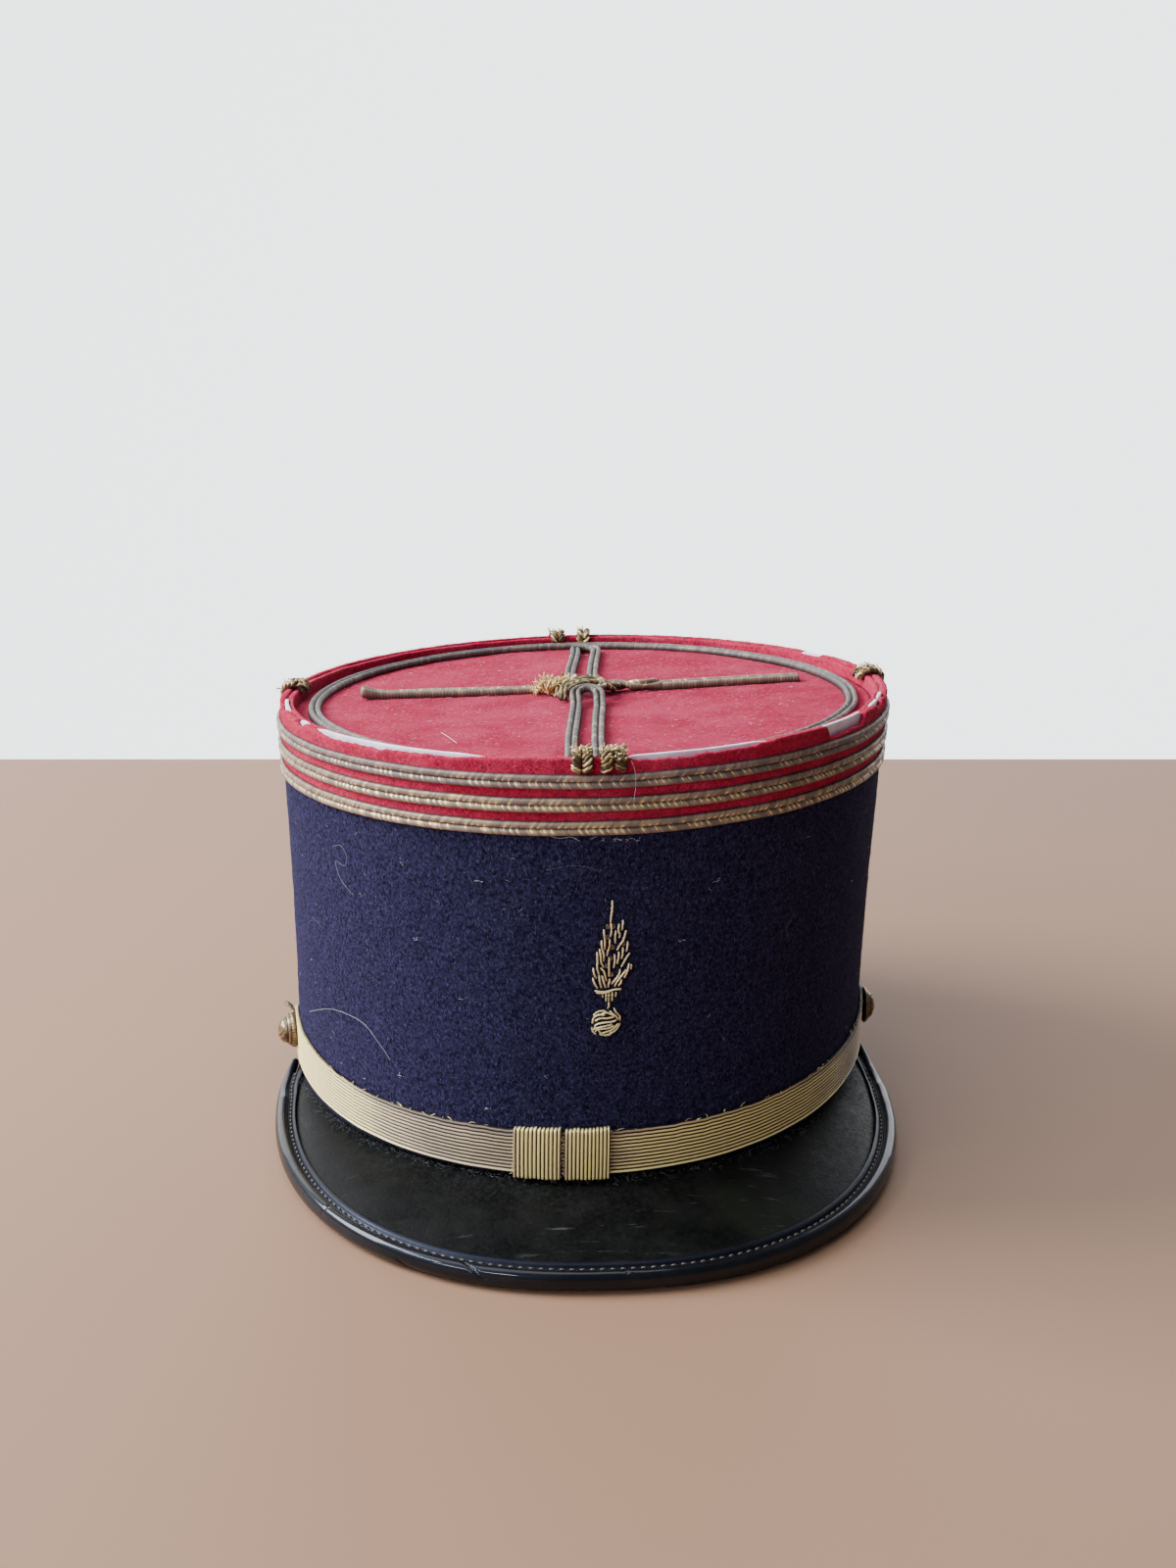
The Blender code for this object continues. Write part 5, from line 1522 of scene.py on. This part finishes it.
def make_welt(material, thread):
    """Stitched strip beside the rolled edge, pinched at each stitch."""
    pitch = STITCH_PITCH
    angles = even_bead_angles(WELT_END_ANGLE, WELT_SECTIONS)
    edge, seam = (visor_point(angles, np.full(len(angles), share)) for share in (1.0, 0.0))
    width = np.linalg.norm(edge - seam, axis=-1)
    centre, _, half_width, half_height = bead_centre(angles)
    over = CLEARANCE + WELT_OVER_BEAD * half_width
    near = 1 - (WELT_WIDTH - over) / width
    far = 1 + over / width
    lengths, total = path_lengths(visor_point(angles, far))
    pinch = 0.5 + 0.5 * np.cos(TAU * lengths / pitch)
    section = (
        # share of the width, share of the thickness
        (0.025, 0.0), (0.0, 0.3), (0.0, 0.62), (0.03, 0.88), (0.10, 1.0), (0.26, 1.04), (0.42, 1.0),
        (0.49, 0.86), (0.54, 0.60), (0.60, 0.50), (0.72, 0.48), (0.84, 0.52), (0.92, 0.60), (0.97, 0.4),
        (1.0, 0.0),
    )
    rows = []
    for share, rise in section:
        dip = 0.22 * pinch * math.exp(-((share - 0.72) / 0.10) ** 2)
        place = near + (far - near) * share
        row = visor_point(angles, place, CLEARANCE * 0.3 + (WELT_THICKNESS + 0.2) * (rise - dip))
        rested = centre[:, 2] + half_height * (0.74 if share < 0.99 else 0.3)
        hold = held((share - 0.70) / 0.2)
        row[:, 2] += hold * (rested - row[:, 2])
        rows.append(row)
    points = np.stack(rows, 1)
    obj = skin("visor_welt_leather", points, material, wrap_along=False,
               tone=np.full(points.shape[:2], 0.9))
    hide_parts("visor_welt")
    stitches = Bundle()
    stitch_count = int(total / pitch)
    for index in range(stitch_count):
        begin = (index + 0.22) * pitch
        spots = np.interp(begin + np.linspace(0, 0.56 * pitch, 6), lengths, angles)
        place = np.interp(spots, angles, near + (far - near) * 0.70)
        rise = CLEARANCE * 0.3 + (WELT_THICKNESS + 0.2) * (0.46 + 0.16 * np.sin(np.linspace(0, math.pi, 6)))
        cord_tube(stitches, visor_point(spots, place, rise), 0.28, sides=6, gold=0.5, tip=0.25)
    stitches.build("visor_welt_stitches", thread, ["visor_welt"])


def along_wall(places, out=0.35):
    """Points over the band for places given as degrees from the front and drop below the top stripe."""
    spots = smooth_path([(degrees, drop, 0.0) for degrees, drop in places], 0.5)
    angle = np.radians(spots[:, 0])
    rise = out + 0.25 * np.sin(np.linspace(0, 9, len(spots)))
    return wall(angle, rise, below_top=spots[:, 1])


def make_band_lint(material, rng):
    """Long hairs and specks of lint that cling to the band."""
    bundle = Bundle()
    hairs = (
        # radius, distance off the felt, then places as degrees and drop below the top stripe in mm
        (0.034, 0.45, ((-67.5, 78.5), (-62.0, 75.0), (-57.0, 72.3), (-52.0, 71.2), (-46.2, 71.6),
                       (-42.0, 75.5), (-39.5, 79.0))),
        (0.017, 0.45, ((-53.5, 26.0), (-50.5, 24.6), (-49.0, 26.8), (-50.2, 30.0), (-52.8, 29.5),
                       (-51.6, 33.0), (-47.5, 37.0))),
        (0.036, 2.3, ((4.6, -3.4), (5.2, -1.0), (5.5, 3.0), (5.2, 6.0), (5.4, 8.5))),
        (0.05, 0.45, ((-8.8, 14.9), (-7.0, 15.5), (-5.2, 15.2), (-3.6, 16.3))),
        (0.012, 0.45, ((-9.5, 23.4), (-6.0, 22.4), (-2.5, 22.6), (-0.5, 23.6))),
        (0.013, 0.45, ((38.0, 42.0), (36.5, 46.0), (37.0, 50.0))),
        (0.013, 0.45, ((-66.0, 52.0), (-62.0, 49.5), (-58.0, 50.0))),
    )
    for index, (radius, out, places) in enumerate(hairs):
        cord_tube(bundle, along_wall(places, out), radius, sides=5, gold=0.9 - 0.1 * index, tip=1.0)
    flecks = (
        # degrees, drop below the top stripe in mm
        (-1.6, 15.6), (0.4, 16.4), (2.2, 15.9), (3.6, 16.6), (5.0, 16.1), (6.6, 16.4), (-37.0, 82.5),
        (-19.5, 86.1), (-46.0, 36.0), (-36.0, 25.0), (-33.0, 44.0), (-21.0, 27.0), (21.0, 29.0), (14.5, 43.0),
        (-24.0, 58.0),
    )
    for degrees, drop in flecks:
        for _ in range(4):
            spot = (degrees + rng.normal(0, 0.5), drop + rng.normal(0, 0.25))
            swing = (spot[0] + rng.normal(0, 0.5), spot[1] + rng.normal(0, 0.3))
            cord_tube(bundle, along_wall([spot, swing], 0.35), rng.uniform(0.025, 0.055), sides=5, gold=0.9,
                      tip=0.2)
    for _ in range(BAND_SPECKS):
        degrees = rng.uniform(-80, 85)
        drop = rng.uniform(16, 92)
        path = [(degrees, drop)]
        aim = rng.uniform(0, TAU)
        for _ in range(3):
            aim += rng.normal(0, 0.9)
            size = rng.uniform(0.2, 0.7)
            path.append((path[-1][0] + size * 0.7 * math.cos(aim), path[-1][1] + size * math.sin(aim)))
        thick = 0.016 + 0.03 * rng.random() ** 3
        cord_tube(bundle, along_wall(path, 0.3), thick, sides=4, gold=rng.uniform(0.1, 0.9), tip=0.4)
    bundle.build("lint_and_hairs", material)


def make_top_lint(material, rng):
    """Specks of lint and one longer hair on the sunken top."""
    bundle = Bundle()
    for _ in range(TOP_SPECKS):
        x, y = rng.uniform(-66, 66), rng.uniform(-82, 66)
        if (x / 70) ** 2 + ((y + 7) / 82) ** 2 > 0.9:
            continue
        aim = rng.uniform(0, TAU)
        plan = [(x, y, 0.0)]
        for _ in range(3):
            aim += rng.normal(0, 1.1)
            size = rng.uniform(0.12, 0.55) + 0.8 * rng.random() ** 8
            plan.append((plan[-1][0] + size * math.cos(aim), plan[-1][1] + size * math.sin(aim), 0.0))
        flat = smooth_path(plan, 0.25)
        path = on_top(flat[:, 0], flat[:, 1], 0.25)
        cord_tube(bundle, path, rng.uniform(0.012, 0.034), sides=4, gold=rng.uniform(0.0, 1.0), tip=0.2)
    top_hair = smooth_path([(-37.2, -50.2, 0.0), (-35.5, -55.2, 0.0), (-33.0, -64.0, 0.0)], 0.5)
    cord_tube(bundle, on_top(top_hair[:, 0], top_hair[:, 1], 0.5), 0.06, sides=5, gold=1.1, tip=0.8)
    bundle.build("top_lint", material)


def make_band_nap(material, rng):
    """Short hairs all over the band, which stand out most where it is seen edge on."""
    angles = rng.uniform(-math.pi, math.pi, BAND_HAIRS)
    heights = rng.uniform(0.4, wall_length(angles) - FELT_JOINT - 0.5)
    here, _, _, out = wall_frame(angles, heights, -0.05)
    fibres("navy_band_nap", here, out, rng, 1.1, 0.06, 0.34, material)


def make_rim_nap(material, rng):
    """Short hairs on the rim's outer face and edge, and between the stripes."""
    angles = rng.uniform(-math.pi, math.pi, RIM_HAIRS)
    worn, _, _ = rim_wear(angles)
    on_face = rng.random(RIM_HAIRS) < 0.55
    drop = np.where(on_face, -rng.random(RIM_HAIRS) * (RIM_HEIGHT - worn) + 0.1, -(RIM_HEIGHT - worn) + 0.05)
    inset = np.where(on_face, -0.05, -RIM_OUTER_FELT * rng.random(RIM_HAIRS))
    in_gap = rng.random(RIM_HAIRS) < 0.28
    gap_drop = (STRIPE_PITCH * rng.integers(0, 2, RIM_HAIRS) + STRIPE_WIDTH
                + STRIPE_GAP * rng.random(RIM_HAIRS))
    drop = np.where(in_gap, gap_drop, drop)
    inset = np.where(in_gap, -0.05, inset)
    roots = wall(angles, inset, below_top=drop)
    _, _, up, out = wall_frame(angles, wall_length(angles))
    aim = np.where((on_face | in_gap)[:, None], out, unit(out * 0.5 + up))
    fibres("red_crown_nap", roots, aim, rng, 0.75, 0.10, 0.45, material)


def make_top_nap(material, rng):
    """Short hairs on the sunken top, brushed to one side."""
    angles = rng.uniform(-math.pi, math.pi, TOP_HAIRS)
    share = np.sqrt(rng.random(TOP_HAIRS)) * 0.98
    plan = top_plan(angles, share[:, None])
    roots = on_top(plan[:, 0], plan[:, 1], -0.05)
    outs = np.broadcast_to(unit(np.array([0.0, TOP_PITCH, 1.0])), roots.shape)
    grain = np.broadcast_to(np.array([1.0, 0.25, 0.0]), roots.shape)
    fibres("crown_top_nap", roots, outs, rng, 1.1, 0.075, 0.20, material, along=grain, lie=0.6)


def make_seam_dust(material, rng):
    """Dust and short hairs caught along the seam between the band and the visor."""
    angles = rng.uniform(-VISOR_SEAM_ANGLE, VISOR_SEAM_ANGLE, SEAM_HAIRS)
    here, _, _, out = wall_frame(angles, np.full(SEAM_HAIRS, 0.3), -0.2)
    away = np.abs(rng.normal(0, 1.6, SEAM_HAIRS))
    roots = here + out * away[:, None]
    roots[:, 2] = here[:, 2] - 0.4 - 0.02 * away
    fibres("seam_dust", roots, unit(UPWARD + out * 0.3), rng, 1.2, 0.08, 0.35, material)


def make_lining(material):
    """Plain leather sweatband inside, seen only from underneath."""
    angles = turn(LINING_SECTIONS)
    rows = []
    for out, share in ((-BAND_FELT - 0.3, 0.004), (-BAND_FELT - 0.2, 0.30), (-BAND_FELT - 0.3, 0.33),
                       (-BAND_FELT - 1.3, 0.335), (-BAND_FELT - 1.5, 0.20), (-BAND_FELT - 1.5, 0.05),
                       (-BAND_FELT - 1.1, 0.0)):
        rows.append(wall(angles, out, above_base=share * CAP_HEIGHT + 0.4))
    points = np.stack(rows, 1)
    skin("sweatband", points, material, tone=np.full(points.shape[:2], 0.6))


def add_plane(name, corners, material):
    mesh = bpy.data.meshes.new(name)
    mesh.from_pydata(corners, [], [tuple(range(len(corners)))])
    mesh.materials.append(material)
    obj = bpy.data.objects.new(name, mesh)
    bpy.context.scene.collection.objects.link(obj)


def turned(x, y, z=0.0):
    """A place given by the camera's own right and ahead, from the cap's middle, in metres."""
    spot_x = x * math.cos(-CAP_YAW) - y * math.sin(-CAP_YAW)
    spot_y = x * math.sin(-CAP_YAW) + y * math.cos(-CAP_YAW)
    return Vector(((spot_x + MIDDLE_X) * MM, (spot_y + MIDDLE_Y) * MM, z * MM))


def make_stage():
    """Plain pale table top, and a pale wall with its own light well beyond the table's far edge."""
    floor_look = Look("pale_floor", Roughness=0.62, Specular_IOR_Level=0.3, Base_Color=srgb(144, 112, 90))
    wall_look = Look("pale_wall", Roughness=0.9, Specular_IOR_Level=0.2, Base_Color=srgb(200, 203, 207),
                     Emission_Color=srgb(246, 248, 252), Emission_Strength=WALL_GLOW)
    side = STAGE_HALF_WIDTH
    add_plane("floor", [turned(-side, TABLE_NEAR), turned(side, TABLE_NEAR), turned(side, TABLE_EDGE),
                        turned(-side, TABLE_EDGE)], floor_look.material)
    add_plane("backdrop", [turned(-side, WALL_PLACE, WALL_BOTTOM), turned(side, WALL_PLACE, WALL_BOTTOM),
                           turned(side, WALL_PLACE, WALL_TOP), turned(-side, WALL_PLACE, WALL_TOP)],
              wall_look.material)


def add_area(name, place, target, size, power, colour):
    """A rectangular light that faces a target."""
    light = bpy.data.lights.new(name, "AREA")
    light.shape = "RECTANGLE"
    light.size, light.size_y = size
    light.energy = power
    light.color = colour
    obj = bpy.data.objects.new(name, light)
    obj.location = place
    obj.rotation_euler = (target - place).to_track_quat("-Z", "Y").to_euler()
    bpy.context.scene.collection.objects.link(obj)


def make_lights():
    """Soft daylight from the left and above, with little from the room."""
    middle = turned(0, 0, 60)
    for name, place, size, power, colour in LIGHTS:
        add_area(name, turned(*place), middle, size, power, colour)
    world = bpy.data.worlds.new("pale_room")
    world.use_nodes = True
    background = world.node_tree.nodes["Background"]
    background.inputs["Color"].default_value = ROOM_COLOUR
    background.inputs["Strength"].default_value = ROOM_STRENGTH
    bpy.context.scene.world = world


def make_camera():
    """Camera at the photo's height and distance."""
    camera = bpy.data.cameras.new("camera")
    camera.lens = CAMERA_LENS
    camera.sensor_fit = "AUTO"
    camera.sensor_width = 36.0
    camera.dof.use_dof = False
    camera.clip_end = 20.0
    obj = bpy.data.objects.new("camera", camera)
    obj.location = turned(CAMERA_ASIDE, -CAMERA_DISTANCE, CAMERA_HEIGHT)
    obj.rotation_euler = (math.pi / 2 - CAMERA_PITCH, 0.0, -CAP_YAW)
    bpy.context.scene.collection.objects.link(obj)
    bpy.context.scene.camera = obj


def main():
    """Builds the stage, then each piece; the random draws follow this order."""
    rng = np.random.default_rng(RANDOM_SEED)
    make_camera()
    make_stage()
    make_lights()
    braids = {row[0]: braid_look(*row) for row in BRAID_TONES}
    hairs = {row[0]: thread_look(*row) for row in HAIR_TONES}
    leather = leather_look()
    make_navy_band(navy_felt_look())
    rim_red = red_felt_look("red_felt_rim", (114, 4, 32), (196, 28, 66), (212, 80, 112), 0.4, 0.3)
    top_red = red_felt_look("red_felt_top", (124, 8, 38), (204, 40, 78), (220, 86, 118), 0.7, 0.8, grain=True)
    make_red_crown(rim_red)
    make_stiffener(plastic_look())
    make_crown_top(top_red)
    make_stripes((braids["gold_braid_tarnished"], braids["gold_braid_worn"], braids["gold_braid_worn"]))
    make_ring(braids["gold_braid_top"])
    make_loops(braids["gold_braid_top"])
    make_arms(braids["gold_braid_worn"])
    make_knot(braids["gold_braid_knotted"], rng)
    make_tuft(braids["gold_braid_frayed"], rng)
    make_wraps(braids["gold_braid_knotted"], rng)
    make_badge(braids["bullion_thread"], rng)
    make_chin_strap(braids["strap_thread"], rng)
    make_slides(braids["strap_thread"], rng)
    make_strap_tip(braids["strap_thread"])
    make_buttons(brass_look())
    make_visor(leather)
    make_bead(patent_look("black_patent_edge", 0.16, 0.5))
    make_welt(patent_look("black_satin_welt", 0.26, 0.0), braids["welt_thread"])
    make_lining(leather)
    make_band_lint(braids["hair_and_lint"], rng)
    make_top_lint(braids["top_lint"], rng)
    make_band_nap(hairs["navy_nap_hair"], rng)
    make_rim_nap(hairs["red_nap_hair"], rng)
    make_top_nap(hairs["top_nap_hair"], rng)
    make_seam_dust(hairs["seam_dust_hair"], rng)


main()
